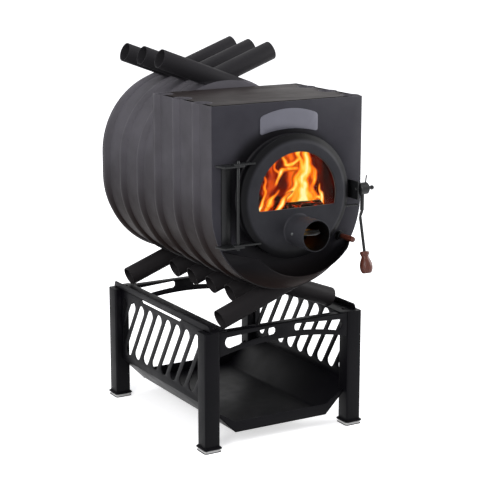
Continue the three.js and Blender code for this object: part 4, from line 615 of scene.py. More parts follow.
fluff = add_node(tree, "ShaderNodeTexNoise", {"Scale": 1 / (1.1 * MM), "Detail": 2}, {"Vector": place})
tone = add_node(tree, "ShaderNodeMix", {"data_type": "RGBA", 6: linear("4b4946"), 7: linear("605d58")},
                {"Factor": fluff.outputs["Fac"]})
bump = add_node(tree, "ShaderNodeBump", {"Strength": 0.8, "Distance": 0.5 * MM},
                {"Height": ridge.outputs[0]})
shader = add_node(tree, "ShaderNodeBsdfPrincipled", {"Roughness": 0.92, "Sheen Weight": 0.15},
                  {"Base Color": tone.outputs[2], "Normal": bump.outputs[0]})
tree.links.new(shader.outputs[0], out.inputs["Surface"])
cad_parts["window_gasket"].material_slots[0].material = rope

seal = bmesh.new()
turned(seal, [(166.4, -29), (167, -25.6), (169.2, -23.3), (172.5, -22.4), (175.8, -23.3), (178, -25.6),
              (178.6, -29), (178, -32), (176, -33.7), (169, -33.7), (167, -32)], (0, 0, DOOR_Z),
              steps=120)
finish_piece("seal_rope", seal, rope, "door", ["door_seal"], smooth=60)

clamp = bmesh.new()
half_moon(clamp, 150, 40.3, -41.4, 10)
half_moon(clamp, 137, 36, -41.4, 6)
fill(clamp, 2, edge=0.4)
for degrees in (0, 60, 120, 180):
    angle = math.radians(degrees)
    spot = (145.1 * math.cos(angle), 0, DOOR_Z + 145.1 * math.sin(angle))
    turned(clamp, [(0, -39.4), (4.6, -39.4), (4.6, -38.4), (3.6, -36.8), (1.8, -36.2), (1.8, -37.6),
                   (0, -37.6)], spot, steps=24)
finish_piece("window_clamp", clamp, cast_iron, "door", ["window_retainer"])

# The air tube: a short round tube welded through the door, whose mouth is open. The
# flap in it turns on a shaft that shows at both sides and ends in a small lever.

# the door's paint outside, and a near-black painted shade in the bore
shaded_bore_paint = coated("cast_door_paint_shaded_bore", "37373b", "313135", 0.48, 1.2, 0.12, patch_mm=60, gloss=0.08,
                rings=(("020202", 0, AIR_Z, 43.4, 44.8),))
mouth = bmesh.new()
turned(mouth, [(43, -152.2), (43.6, -153), (45.2, -153), (46, -152.2), (46, -55.5), (49, -53.1),
               (46, -53), (46, -48.2), (43, -48.2)], (0, 0, AIR_Z), steps=80)
finish_piece("air_inlet", mouth, shaded_bore_paint, "door", ["air_tube"])

# bare mild steel gone dull: the one light line in the dark mouth
bare_steel = coated("bare_steel_dulled", "6f7272", "5e6161", 0.42, 0.9, 0.04, patch_mm=30, gloss=0.4)
flap = bmesh.new()
turned(flap, [(0, -1), (41.4, -1), (42, -0.5), (42, 0.5), (41.4, 1), (0, 1)], (0, -96, AIR_Z), "Z", 72)
turned(flap, [(0, -49), (3.2, -49), (4, -48.2), (4, 63.2), (3.2, 64), (0, 64)], (0, -96, AIR_Z), "X",
       24)
lever = bmesh.new()
outline(lever, -100.5, AIR_Z - 4.5, [(-70, AIR_Z - 4.5), (-70, AIR_Z + 4.5), (-100.5, AIR_Z + 4.5)],
        y=60)
round_corners(lever, 4.4)
fill(lever, 4, edge=0.7)
SIDEWAYS = Matrix(((0, 1, 0, 0), (1, 0, 0, 0), (0, 0, 1, 0), (0, 0, 0, 1)))
put_in(flap, lever, SIDEWAYS)
finish_piece("inlet_flap", flap, bare_steel, "air_flap", ["air_flap"])

# The hinge: a flat bar on the front plate with two plain lugs and an upright pin. The
# door's lugs are welded to its rim and drop over the pin onto the bracket's lugs.

# forged steel blackened in oil: dark grey with a soft shine on its edges
blackened = coated("blackened_steel", "1a1b1c", "151617", 0.38, 0.9, 0.05, patch_mm=35, gloss=0.25)
HINGE_X, HINGE_Y = -190, -35
UPPER, LOWER = DOOR_Z + 107, DOOR_Z - 128


def flat_bar(mesh, points, bottom, thickness, corner=0, edge=0.7, matrix=LAID_DOWN):
    """A flat piece drawn by its corners: lying down, unless the matrix stands it up."""
    made = bmesh.new()
    outline(made, *points[0], points[1:], y=bottom)
    if corner:
        round_corners(made, corner)
    fill(made, thickness, edge)
    put_in(mesh, made, matrix)


bracket = bmesh.new()
flat_bar(bracket, [(-226, LOWER - 5), (-198, LOWER - 5), (-198, UPPER), (-226, UPPER)], -4.3, 4, 2,
         matrix=Matrix.Identity(4))
for seat in (UPPER, LOWER):
    flat_bar(bracket, [(-249, -4.3), (-239, -45), (-172, -45), (-172, -25), (-198, -4.3)], seat - 5, 5,
             3)
finish_piece("hinge_plate", bracket, blackened, nodes=["hinge_bracket"])

pin = bmesh.new()
low, high = LOWER - 13, UPPER + 13
turned(pin, [(0, low), (4, low), (5, low + 1.2), (5, high - 2.4), (4.2, high - 0.8), (2.6, high),
             (0, high)],
       (HINGE_X, HINGE_Y, 0), "Z", 32)
finish_piece("hinge_pin", pin, blackened, nodes=["hinge_rod"])

for name, seat, near, far in (("upper", UPPER, -149, -136), ("lower", LOWER, -131.5, -116.5)):
    lug = bmesh.new()
    flat_bar(lug, [(-208, -45), (far, -45), (near, -38.5), (near, -25), (-208, -25)], seat + 0.3, 5, 4)
    finish_piece("hinge_lug_" + name, lug, blackened, "door", ["door_lug_" + name])

# The latch: a plate on the front plate carries a fixed pin with a ball end. The lever
# turns on it with a round hub, and ends in a turned wooden handle.

PIN_Y, LATCH_Z = -46, DOOR_Z + 3


def swept(mesh, points, radii, segments=20):
    """A round bar along points, with a radius at each and closed ends."""
    points = [Vector(p) for p in points]
    rim, last = None, None
    for i, point in enumerate(points):
        way = (points[min(i + 1, len(points) - 1)] - points[max(i - 1, 0)]).normalized()
        here = Matrix.Translation(point) @ way.to_track_quat("Z", "Y").to_matrix().to_4x4()
        here = here @ Matrix.Scale(radii[i], 4)
        if rim is None:
            start = bmesh.ops.create_circle(mesh, segments=segments, radius=1, matrix=here)["verts"]
            first = rim = list({e for v in start for e in v.link_edges})
        else:
            rim = push(mesh, rim, here @ last.inverted())
        last = here
    for ring in (first, rim):
        bmesh.ops.edgeloop_fill(mesh, edges=ring)


plate = bmesh.new()
flat_bar(plate, [(-0.3, LATCH_Z - 31), (-0.3, LATCH_Z + 23), (-54, LATCH_Z + 23), (-54, LATCH_Z - 31)],
         208, 5, 3, matrix=SIDEWAYS)
finish_piece("latch_plate", plate, blackened, nodes=["latch_bracket"])

pin = bmesh.new()
ball = [(7 * math.cos(a), 264 + 7 * math.sin(a)) for a in (math.radians(-45 + 15 * i) for i in range(9))]
turned(pin, [(0, 203), (4.4, 203), (5, 203.8), (5, 258.5), *ball, (0, 271)], (0, PIN_Y, LATCH_Z), "X",
       32)
finish_piece("pivot_pin", pin, blackened, nodes=["latch_pin"])

lever = bmesh.new()
turned(lever, [(5.3, 217), (16, 217), (18, 219), (18, 244), (16, 246), (8, 246), (7.4, 245.2),
               (5.3, 245.2)],
       (0, PIN_Y, LATCH_Z), "X", 48)
swept(lever, [(230, PIN_Y, LATCH_Z - 9), (230, PIN_Y, LATCH_Z - 64), (230, PIN_Y, LATCH_Z - 66)],
      [6, 6, 5.2])
kink = Vector((224, PIN_Y, LATCH_Z - 84))
grip_top = Vector((224, PIN_Y - 25, LATCH_Z - 186))
grip_way = (grip_top - kink).normalized()
swept(lever, [(230, PIN_Y, LATCH_Z - 60), (230, PIN_Y, LATCH_Z - 67), (228.6, PIN_Y, LATCH_Z - 72),
              (225.2, PIN_Y - 0.3, LATCH_Z - 79), kink + grip_way * 3, grip_top - grip_way,
              grip_top + grip_way * 39], [4.6] * 7)
swept(lever, [(240, PIN_Y, LATCH_Z + 9), (243.6, PIN_Y, LATCH_Z + 37), (244, PIN_Y, LATCH_Z + 40)],
      [2, 2, 1.2], 12)
finish_piece("latch_arm", lever, blackened, "latch", ["latch_lever"])

tongue = bmesh.new()
turned(tongue, [(0, 170), (3.5, 170), (3.5, 220.8), (2.4, 222.3), (0, 222.3)],
       (0, HINGE_Y, LATCH_Z - 49), "X", 24)
finish_piece("latch_tongue", tongue, blackened, "door", ["door_tongue"])

# The two wooden grips, turned from reddish-brown hardwood with a little oil. The grain
# runs along each, and the lever's is held by its drilled end on the bar.


def turned_wood(name, centre, way):
    """Oiled wood with long fibres and growth rings about a line through a point."""
    made, tree, out, place = new_material(name)
    turn = way.to_track_quat("Z", "Y").to_matrix().to_4x4()
    frame_of = (Matrix.Translation(TO_FRAME @ centre) @ turn).inverted()
    angles = frame_of.to_euler()
    local = add_node(tree, "ShaderNodeMapping",
                     {"Rotation": tuple(angles), "Location": tuple(frame_of.translation)},
                     {"Vector": place})
    stretch = add_node(tree, "ShaderNodeMapping", {"Scale": (1, 1, 0.09)}, {"Vector": local.outputs[0]})
    warp = add_node(tree, "ShaderNodeTexNoise", {"Scale": 1 / (17 * MM), "Detail": 2},
                    {"Vector": stretch.outputs[0]})
    # growth rings 3.7 mm apart: this texture's own wave is 0.314 long
    rings = add_node(tree, "ShaderNodeTexWave",
                     {"wave_type": "RINGS", "rings_direction": "Y", "Scale": 0.314 / (3.7 * MM),
                      "Distortion": 3.5, "Detail": 2}, {"Vector": stretch.outputs[0]})
    fibres = add_node(tree, "ShaderNodeTexNoise", {"Scale": 1 / (1.05 * MM), "Detail": 3},
                      {"Vector": stretch.outputs[0]})
    dark = add_node(tree, "ShaderNodeMix", {"data_type": "RGBA", 6: linear("4f261c"),
                                            7: linear("6b3a2d")},
                    {"Factor": rings.outputs["Fac"]})
    pores = add_node(tree, "ShaderNodeMapRange",
                     {"From Min": 0.52, "From Max": 0.7, "To Min": 0, "To Max": 0.7},
                     {"Value": fibres.outputs["Fac"]})
    colour = add_node(tree, "ShaderNodeMix", {"data_type": "RGBA", 7: linear("35180f")},
                      {"Factor": pores.outputs[0], 6: dark.outputs[2]})
    share = add_node(tree, "ShaderNodeMath", {"operation": "MULTIPLY", 1: 0.6}, {0: warp.outputs["Fac"]})
    warmer = add_node(tree, "ShaderNodeMix", {"data_type": "RGBA", 7: linear("5f3024")},
                      {"Factor": share.outputs[0], 6: colour.outputs[2]})
    bump = add_node(tree, "ShaderNodeBump", {"Strength": 0.35, "Distance": 0.12 * MM},
                    {"Height": fibres.outputs["Fac"]})
    shader = add_node(tree, "ShaderNodeBsdfPrincipled",
                      {"Roughness": 0.4, "IOR": 1.48, "Specular IOR Level": 0.3, "Coat Weight": 0.1,
                       "Coat Roughness": 0.2},
                      {"Base Color": warmer.outputs[2], "Normal": bump.outputs[0]})
    tree.links.new(shader.outputs[0], out.inputs["Surface"])
    return made


grip = bmesh.new()
shares = [(0, 0), (0.62, 0), (0.7, 0.02), (0.745, 0.06), (0.74, 0.11), (0.66, 0.16), (0.585, 0.2),
          (0.565, 0.24), (0.6, 0.29), (0.71, 0.36), (0.83, 0.44), (0.93, 0.53), (0.985, 0.62), (1, 0.7),
          (0.985, 0.78), (0.93, 0.86), (0.83, 0.93), (0.7, 0.98), (0.58, 1), (0, 1)]
turned(grip, [(19.5 * r, 66 * h) for r, h in shares], (0, 0, 0), "Y", 64)
lean = Vector((0, 1, 0)).rotation_difference(grip_way).to_matrix().to_4x4()
bmesh.ops.transform(grip, verts=grip.verts, matrix=Matrix.Translation(grip_top) @ lean)
finish_piece("latch_grip", grip, turned_wood("turned_hardwood_grip", grip_top, grip_way), "latch",
             ["latch_handle"], smooth=40)

pull = bmesh.new()
turned(pull, [(4.3, -16.3), (6.4, -16.3), (7.1, -17.2), (7.6, -24), (8.3, -46), (8.5, -66),
              (8.5, -75.4),
              (7.9, -77.4), (6.2, -78.3), (0, -78.3), (0, -47.6), (4.3, -47.6)], (SLIDE_X, 0, SLIDE_Z),
       steps=48)
finish_piece("slide_grip", pull, turned_wood("turned_hardwood_pull", Vector((SLIDE_X, -40, SLIDE_Z)),
                                              Vector((0, -1, 0))), "air_slide",
             ["air_slide_pull"], smooth=40)

# The air slide's guide and rod: a small turned collar on the front plate, in which the
# rod and its piston run in and out.

guide = bmesh.new()
turned(guide, [(4.3, -15.4), (4.9, -16), (11, -16), (12, -15), (12, -3), (14.5, -0.3), (8, -0.3),
               (8, -13),
               (4.3, -13)], (SLIDE_X, 0, SLIDE_Z), steps=40)
finish_piece("slide_guide", guide, cast_iron, nodes=["air_slide_guide"])
rod = bmesh.new()
turned(rod, [(0, 2), (7.7, 2), (7.7, -3), (4, -3), (4, -47.3), (0, -47.3)], (SLIDE_X, 0, SLIDE_Z),
       steps=32)
finish_piece("slide_rod", rod, cast_iron, "air_slide", ["air_slide_rod"])

# The stand: legs of 50 mm square tube with round corners, each welded to a flared
# flange on a white plastic pad with a dark sole. All its steel is powder-coated black.

# polyester powder, baked: even, nearly black with a trace of blue, and a fine orange peel
powder = coated("black_powder_coat", "0c0b0f", "09090c", 0.42, 0.9, 0.05, patch_mm=70, gloss=0.08)
# moulded polythene: milky white and smooth, a little dirty
bright, tree, out, place = new_material("white_foot_plastic")
grain = add_node(tree, "ShaderNodeTexNoise", {"Scale": 1 / (1.4 * MM), "Detail": 2}, {"Vector": place})
dirt = add_node(tree, "ShaderNodeTexNoise", {"Scale": 1 / (17 * MM), "Detail": 3}, {"Vector": place})
tone = add_node(tree, "ShaderNodeMix", {"data_type": "RGBA", 6: linear("f4f4f2"), 7: linear("e4e3df")},
                {"Factor": dirt.outputs["Fac"]})
bump = add_node(tree, "ShaderNodeBump", {"Strength": 0.4, "Distance": 0.08 * MM},
                {"Height": grain.outputs["Fac"]})
shader = add_node(tree, "ShaderNodeBsdfPrincipled", {"Roughness": 0.45},
                  {"Base Color": tone.outputs[2], "Normal": bump.outputs[0]})
tree.links.new(shader.outputs[0], out.inputs["Surface"])

LEG_TOP = 366
STAND_FRONT = (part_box("leg_front_left")[0].y - FRONT_Y) / MM + 5
STAND_BACK = (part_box("leg_rear_left")[1].y - FRONT_Y) / MM - 5


def square(mesh, x, y, side, corner, z0, z1, edge):
    """A length of square section standing about a point, with rounded corners."""
    half = side / 2
    points = [(x - half, y - half), (x + half, y - half), (x + half, y + half), (x - half, y + half)]
    flat_bar(mesh, points, z0, z1 - z0, corner, edge)


for along, y in (("front", STAND_FRONT + 25), ("rear", STAND_BACK - 25)):
    for across, x in (("left", -250), ("right", 250)):
        leg, pad = bmesh.new(), bmesh.new()
        square(leg, x, y, 50, 6, 13, LEG_TOP, 0.9)
        square(leg, x, y, 60, 7, 10, 14, 0.8)
        square(leg, x, y, 54, 7, 13.5, 16.5, 1.4)
        finish_piece(f"stand_leg_{along}_{across}", leg, powder,
                     nodes=[f"leg_{along}_{across}"])
        square(pad, x, y, 54, 8, 2, 10.2, 1.2)
        finish_piece(f"foot_pad_{along}_{across}", pad, bright)
        sole = bmesh.new()
        square(sole, x, y, 57, 8, 0, 2.4, 0.6)
        finish_piece(f"foot_sole_{along}_{across}", sole, cast_iron)

# The rails lie on the legs and carry the stove's tube feet. Each is a folded angle of
# 3 mm sheet with rounded corners, bolted down to the legs from above.

for side, turn in (("left", -1), ("right", 1)):
    rail = bmesh.new()
    flat_bar(rail, [(197, STAND_FRONT), (257, STAND_FRONT), (257, STAND_BACK), (197, STAND_BACK)],
             LEG_TOP + 0.3, 3, 12)
    lip = bmesh.new()
    outline(lip, STAND_FRONT + 6, 366.3, [(STAND_BACK - 6, 366.3), (STAND_BACK - 10, 386.3),
                                         (STAND_FRONT + 10, 386.3)], y=254)
    round_corners(lip, 9, lambda p: p.z > 380)
    fill(lip, 3)
    put_in(rail, lip, SIDEWAYS)
    for y in (STAND_FRONT + 32, STAND_BACK - 32):
        turned(rail, [(0, 369.2), (6.5, 369.2), (6.5, 370.2), (5.4, 372), (3.6, 372.9), (0, 373.2)],
               (228, y, 0), "Z", 32)
    bmesh.ops.transform(rail, verts=rail.verts, matrix=Matrix.Diagonal((turn, 1, 1, 1)))
    finish_piece("stand_rail_" + side, rail, powder, nodes=["rail_" + side])

# The aprons: arched sheets between the legs, front and rear. Each has two hand slots
# that follow the arch, and its top edge is folded back.

APRON_HALF = 224.7


def arch(x, foot, crown):
    """The height of a shallow arch between the legs."""
    return crown - (crown - foot) * (x / APRON_HALF) ** 2


for along, face, inward in (("front", STAND_FRONT + 4, 1), ("rear", STAND_BACK - 4, -1)):
    apron = bmesh.new()
    y = face if inward > 0 else face - 3
    steps = [(x, arch(x, 290, 317)) for x in (APRON_HALF * (i / 12 - 1) for i in range(25))]
    outline(apron, -APRON_HALF, LEG_TOP, [*steps, (APRON_HALF, LEG_TOP)], y=y)
    for side in (-1, 1):
        slot_points = [(x, arch(x, 304, 335)) for x in (42 + 14.5 * i for i in range(11))]
        before = set(apron.verts)
        outline(apron, side * 34, 335, [(side * px, pz) for px, pz in slot_points]
                + [(side * 187, 332, side * 140), (side * 34, 356)], y=y)
        made = [v for v in apron.verts if v not in before]
        bmesh.ops.remove_doubles(apron, verts=made, dist=0.01)
        round_corners(apron, 8, lambda p, s=side: abs(p.x - s * 34) < 0.1)
    fill(apron, 3)
    low, high = (face, face + 25) if inward > 0 else (face - 25, face)
    flat_bar(apron, [(-APRON_HALF, low), (APRON_HALF, low), (APRON_HALF, high), (-APRON_HALF, high)],
             LEG_TOP - 3, 3)
    finish_piece("stand_apron_" + along, apron, powder, nodes=["apron_" + along])

# The side panels: sheets between the legs with slanted slots that have round ends, cut
# off beside the legs, and a shallow notch in the top edge.

PANEL_FRONT, PANEL_BACK = STAND_FRONT + 50.3, STAND_BACK - 50.3
LEAN = math.radians(32)
middle = (PANEL_FRONT + PANEL_BACK) / 2
notch_half = (PANEL_BACK - PANEL_FRONT) * 0.225
for side, x in (("left", -250), ("right", 250)):
    panel = bmesh.new()
    outline(panel, PANEL_FRONT, 132, [
        (PANEL_BACK, 132), (PANEL_BACK, LEG_TOP), (middle + notch_half + 12, LEG_TOP),
        (middle + notch_half, LEG_TOP - 12), (middle - notch_half, LEG_TOP - 12),
        (middle - notch_half - 12, LEG_TOP), (PANEL_FRONT, LEG_TOP)], y=x - 1.5)
    for i in range(-7, 8):
        slot = bmesh.new()
        reach = (92.5 - 17) / math.cos(LEAN)
        y, z = middle + 61 * i, 247.5
        dy, dz = -reach * math.sin(LEAN), reach * math.cos(LEAN)
        ny, nz = 17 * math.cos(LEAN), 17 * math.sin(LEAN)
        outline(slot, y + dy + ny, z + dz + nz, [
            (y + dy, z + dz, 180), (y - dy - ny, z - dz - nz), (y - dy, z - dz, 180)], y=x - 1.5)
        bmesh.ops.remove_doubles(slot, verts=slot.verts, dist=0.01)
        bmesh.ops.contextual_create(slot, geom=slot.edges)
        for edge_y, way in ((PANEL_FRONT + 8, -1), (PANEL_BACK - 8, 1)):
            bmesh.ops.bisect_plane(slot, geom=[*slot.verts, *slot.edges, *slot.faces], dist=0.01,
                                   plane_co=(edge_y, 0, 0), plane_no=(way, 0, 0), clear_outer=True)
        if slot.faces and sum(f.calc_area() for f in slot.faces) > 250:
            bmesh.ops.delete(slot, geom=slot.faces, context="FACES_ONLY")
            round_corners(slot, 3)
            put_in(panel, slot, Matrix.Identity(4))
        else:
            slot.free()
    fill(panel, 3)
    bmesh.ops.transform(panel, verts=panel.verts, matrix=SIDEWAYS)
    finish_piece("stand_panel_" + side, panel, powder, nodes=["side_panel_" + side])

# The log tray: one folded sheet with a flat floor and two wings up to the side panels.
# A low lip closes it at the front and at the back.

tray = bmesh.new()
fold = [(-251.5, 131.7), (-161, 41.5), (161, 41.5), (251.5, 131.7)]
TRAY_FRONT, TRAY_BACK = STAND_FRONT + 22, STAND_BACK - 22
chain = [tray.verts.new((x, TRAY_FRONT, z)) for x, z in fold]
for pair in zip(chain, chain[1:]):
    tray.edges.new(pair)
bmesh.ops.bevel(tray, geom=chain[1:3], offset=9, offset_type="OFFSET", segments=5, profile=0.5,
                affect="VERTICES", clamp_overlap=True, material=-1)
push(tray, tray.edges[:], shift(y=TRAY_BACK - TRAY_FRONT))
bmesh.ops.recalc_face_normals(tray, faces=tray.faces)
if tray.faces[:][0].normal.z > 0:
    bmesh.ops.reverse_faces(tray, faces=tray.faces)
bmesh.ops.solidify(tray, geom=tray.faces, thickness=3)
break_edges(tray, 0.5)
for y in (TRAY_FRONT, TRAY_BACK - 3):
    end = bmesh.new()
    outline(end, -250, 130.5, [(-161, 41.5), (161, 41.5), (250, 130.5), (161, 75), (-161, 75)], y=y)
    round_corners(end, 6, lambda p: p.z > 70 and abs(p.x) < 170)
    fill(end, 3)
    put_in(tray, end, Matrix.Identity(4))
finish_piece("stand_tray", tray, powder, nodes=["log_tray"])

# The fire: split logs on the grate, burnt to charcoal. The crust is dull black and
# cracked into small blocks, and where the upper logs still burn the cracks glow orange.

GRATE_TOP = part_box("grate")[1].z / MM
char, tree, out, place = new_material("charcoal_crust")
warp = add_node(tree, "ShaderNodeTexNoise", {"Scale": 1 / (33 * MM), "Detail": 4}, {"Vector": place})
wide = add_node(tree, "ShaderNodeMapping", {"Scale": (0.5, 1, 1)}, {"Vector": place})
cracks = add_node(tree, "ShaderNodeTexVoronoi",
                  {"feature": "DISTANCE_TO_EDGE", "Scale": 1 / (24 * MM)}, {"Vector": wide.outputs[0]})
glow = add_node(tree, "ShaderNodeMapRange", {"From Min": 0, "From Max": 0.07, "To Min": 1, "To Max": 0},
                {"Value": cracks.outputs["Distance"]})
patchy = add_node(tree, "ShaderNodeMapRange", {"From Min": 0.5, "From Max": 0.64},
                  {"Value": warp.outputs["Fac"]})
height = add_node(tree, "ShaderNodeSeparateXYZ", links={"Vector": place})
upper = add_node(tree, "ShaderNodeMapRange", {"From Min": (GRATE_TOP + 55) * MM,
                                              "From Max": (GRATE_TOP + 85) * MM},
                 {"Value": height.outputs["Z"]})
hot = add_node(tree, "ShaderNodeMath", {"operation": "MULTIPLY"},
               {0: glow.outputs[0], 1: patchy.outputs[0]})
lit = add_node(tree, "ShaderNodeMath", {"operation": "MULTIPLY"},
               {0: hot.outputs[0], 1: upper.outputs[0]})
bump = add_node(tree, "ShaderNodeBump", {"Strength": 1, "Distance": 3 * MM},
                {"Height": cracks.outputs["Distance"]})
ember = add_node(tree, "ShaderNodeMath", {"operation": "MULTIPLY", 1: 1.4}, {0: lit.outputs[0]})
shader = add_node(tree, "ShaderNodeBsdfPrincipled",
                  {"Base Color": linear("0f0b0a"), "Roughness": 0.9, "Emission Color": linear("ff4a0e")},
                  {"Emission Strength": ember.outputs[0], "Normal": bump.outputs[0]})
tree.links.new(shader.outputs[0], out.inputs["Surface"])

logs = bmesh.new()
for x, y, z, radius, length, lean, roll in (
        (-70, 190, 34, 34, 240, 4, 20), (20, 190, 38, 38, 250, -6, 70), (110, 190, 35, 35, 250, 7, 45),
        (96, 74, 102, 29, 122, 84, 35), (60, 250, 96, 34, 260, 96, 10)):
    log = bmesh.new()
    rim = bmesh.ops.create_circle(log, segments=20, radius=radius)["verts"]
    for i, v in enumerate(rim):
        v.co *= 1 + 0.07 * math.sin(3 * i + roll) + 0.05 * math.sin(7.3 * i + radius)
    loop = list({e for v in rim for e in v.link_edges})
    first = loop
    for part in range(8):
        sway = 2.2 * math.sin(part * 1.7 + roll)
        loop = push(log, loop, shift(sway, -sway, length / 8))
    for ring in (first, loop):
        bmesh.ops.edgeloop_fill(log, edges=ring)
    break_edges(log, 3, 2, 60)
    turn = Matrix.Rotation(math.radians(lean), 4, "Z") @ Matrix.Rotation(-QUARTER, 4, "X")
    put_in(logs, log, Matrix.Translation((x, y, GRATE_TOP + z)) @ turn @ shift(z=-length / 2)
           @ Matrix.Rotation(math.radians(roll), 4, "Z"))
finish_piece("fire_logs", logs, char, smooth=35)

# The flames: rippled curtains of burning gas, one behind another. A tongue of fire is pale
# yellow along its middle, turns orange and deep red outwards, and its edge is clear.

flame, tree, out, place = new_material("burning_gas")
hot = add_node(tree, "ShaderNodeAttribute", {"attribute_name": "hot"})
upward = add_node(tree, "ShaderNodeMapping", {"Scale": (1, 1, 0.4)}, {"Vector": place})
licks = add_node(tree, "ShaderNodeTexNoise", {"Scale": 1 / (26 * MM), "Detail": 3, "Distortion": 1.1},
                 {"Vector": upward.outputs[0]})
uneven = add_node(tree, "ShaderNodeMath", {"operation": "MULTIPLY_ADD", 1: 1.3, 2: 0.35},
                  {0: licks.outputs["Fac"]})
heat = add_node(tree, "ShaderNodeMath", {"operation": "MULTIPLY"},
                {0: hot.outputs["Fac"], 1: uneven.outputs[0]})
ramp = add_node(tree, "ShaderNodeValToRGB", links={"Fac": heat.outputs[0]})
ramp.color_ramp.elements[0].position = 0.1
ramp.color_ramp.elements[0].color = linear("3a0602")
ramp.color_ramp.elements[1].position = 1
ramp.color_ramp.elements[1].color = linear("ffeea8")
for at, text in ((0.25, "a01f05"), (0.4, "e2530b"), (0.58, "fa8212"), (0.76, "ffb830"),
                 (0.9, "ffda66")):
    ramp.color_ramp.elements.new(at).color = linear(text)
light = add_node(tree, "ShaderNodeEmission", {"Strength": 1.15}, {"Color": ramp.outputs["Color"]})
clear = add_node(tree, "ShaderNodeBsdfTransparent")
thick = add_node(tree, "ShaderNodeMapRange", {"From Min": 0.1, "From Max": 0.34},
                 {"Value": heat.outputs[0]})
both = add_node(tree, "ShaderNodeMixShader", links={0: thick.outputs[0], 1: clear.outputs[0],
                                                    2: light.outputs[0]})
tree.links.new(both.outputs[0], out.inputs["Surface"])


def heat_at(x, z, tongues):
    """How hot a spot is. A tongue is a line of points with x, height, half width and heat."""
    most = 0
    for tongue in tongues:
        for (x0, z0, wide0, heat0), (x1, z1, wide1, heat1) in zip(tongue, tongue[1:]):
            dx, dz = x1 - x0, z1 - z0
            share = min(1, max(0, ((x - x0) * dx + (z - z0) * dz) / (dx * dx + dz * dz)))
            gap = math.hypot(x - x0 - share * dx, z - z0 - share * dz)
            wide, hottest = wide0 + (wide1 - wide0) * share, heat0 + (heat1 - heat0) * share
            most = max(most, hottest * math.exp(-0.9 * (gap / wide) ** 2))
    return most


# heights count from the window's lower edge, and the rear curtains stand lower and to the right
flames = bmesh.new()
hot = flames.verts.layers.float.new("hot")
for y, across, down, tongues in (
        (40, 49, 22, (
            ((-128, -10, 8, 0.9), (-127, 8, 8, 1), (-118, 24, 7, 0.95), (-106, 40, 5, 0.85),
             (-98, 58, 5, 0.7),
             (-103, 80, 4, 0.6), (-108, 98, 4, 0.5), (-110, 112, 3, 0.3)),
            ((-100, -10, 10, 0.7), (-96, 12, 12, 0.8), (-86, 27, 10, 0.85), (-71, 47, 5, 0.7),
             (-61, 64, 3, 0.5)),
            ((-64, -12, 7, 0.9), (-59, 12, 8, 1), (-40, 28, 9, 0.9), (-22, 42, 7, 0.6),
             (-12, 52, 5, 0.4)))),
        (112, 91, 41, (
            ((44, -30, 34, 1), (41, 8, 31, 1), (33, 45, 23, 1), (30, 83, 19, 1), (34, 120, 20, 0.95),
             (41, 158, 16, 0.92), (45, 190, 13, 0.8)),
            ((30, 100, 12, 0.8), (17, 140, 9, 0.85), (12, 168, 8, 0.8)),
            ((-50, 6, 12, 0.7), (-38, 26, 12, 0.8), (-18, 42, 14, 0.9), (3, 68, 13, 0.85),
             (12, 98, 11, 0.8),
             (20, 122, 9, 0.7)),
            ((-4, -20, 26, 0.6), (4, 26, 24, 0.62), (12, 60, 18, 0.62), (14, 104, 14, 0.58)),
            ((-75, 86, 5, 0.6), (-63, 99, 6, 0.8), (-51, 110, 7, 1), (-36, 123, 6, 0.8),
             (-14, 129, 6, 0.75),
             (6, 122, 6, 0.7)),
            ((-52, 110, 5, 0.9), (-64, 124, 5, 0.7), (-70, 142, 4, 0.5)),
            ((-46, 176, 6, 0.8), (-40, 158, 6, 0.9), (-27, 141, 6, 0.95), (-6, 138, 6, 0.95),
             (12, 151, 6, 0.9),
             (19, 176, 6, 0.9)),
            ((-14, 178, 18, 0.5), (-14, 156, 15, 0.5)),
            ((50, 134, 10, 0.6), (60, 113, 12, 0.62), (74, 88, 10, 0.66), (62, 70, 9, 0.55),
             (64, 50, 12, 0.62),
             (64, 20, 14, 0.62)),
            ((88, -30, 10, 1), (90, 6, 11, 1.1), (90, 34, 9, 1.1), (92, 50, 5, 1), (94, 64, 3, 0.6)),
            ((86, 30, 6, 1), (73, 36, 4, 0.9), (62, 34, 3, 0.6)),
            ((93, 48, 4, 0.6), (102, 32, 5, 0.6), (110, 12, 5, 0.5), (112, -10, 6, 0.5)))),
        (168, 124, 55, (
            ((-110, -30, 26, 0.45), (-96, 40, 20, 0.4), (-82, 110, 20, 0.36), (-66, 176, 18, 0.34)),
            ((-30, -30, 30, 0.5), (-6, 40, 30, 0.5), (6, 110, 30, 0.46), (-20, 180, 34, 0.46)),
            ((62, -30, 24, 0.45), (66, 60, 20, 0.4), (60, 150, 18, 0.36))))):
    left, right = -140, min(140, 200 - across)
    place_it = shift((left + right) / 2 + across, y,
                     DOOR_Z - CHORD - down + 78) @ Matrix.Rotation(QUARTER, 4, "X")
    curtain = bmesh.ops.create_grid(flames, x_segments=110, y_segments=90, size=1, matrix=place_it
                                    @ Matrix.Diagonal(((right - left) / 2, 112, 1, 1)))["verts"]
    for v in curtain:
        x, z = v.co.x - across, v.co.z - (DOOR_Z - CHORD - down)
        v[hot] = heat_at(x + 4 * math.sin(z / 13 + x / 31) + 2.5 * math.sin(z / 6.1 + y),
                         z + 4 * math.sin(x / 11 + z / 37), tongues)
        v.co.y += 5 * math.sin(x / 19 + z / 47) + 3 * math.sin(z / 23 - x / 41)
finish_piece("fire_flames", flames, flame, smooth=180)

# The glow behind the flames: hot smoke along the walls, a dull uneven red. It stands in a
# bow round the fire, and thins out towards the top.

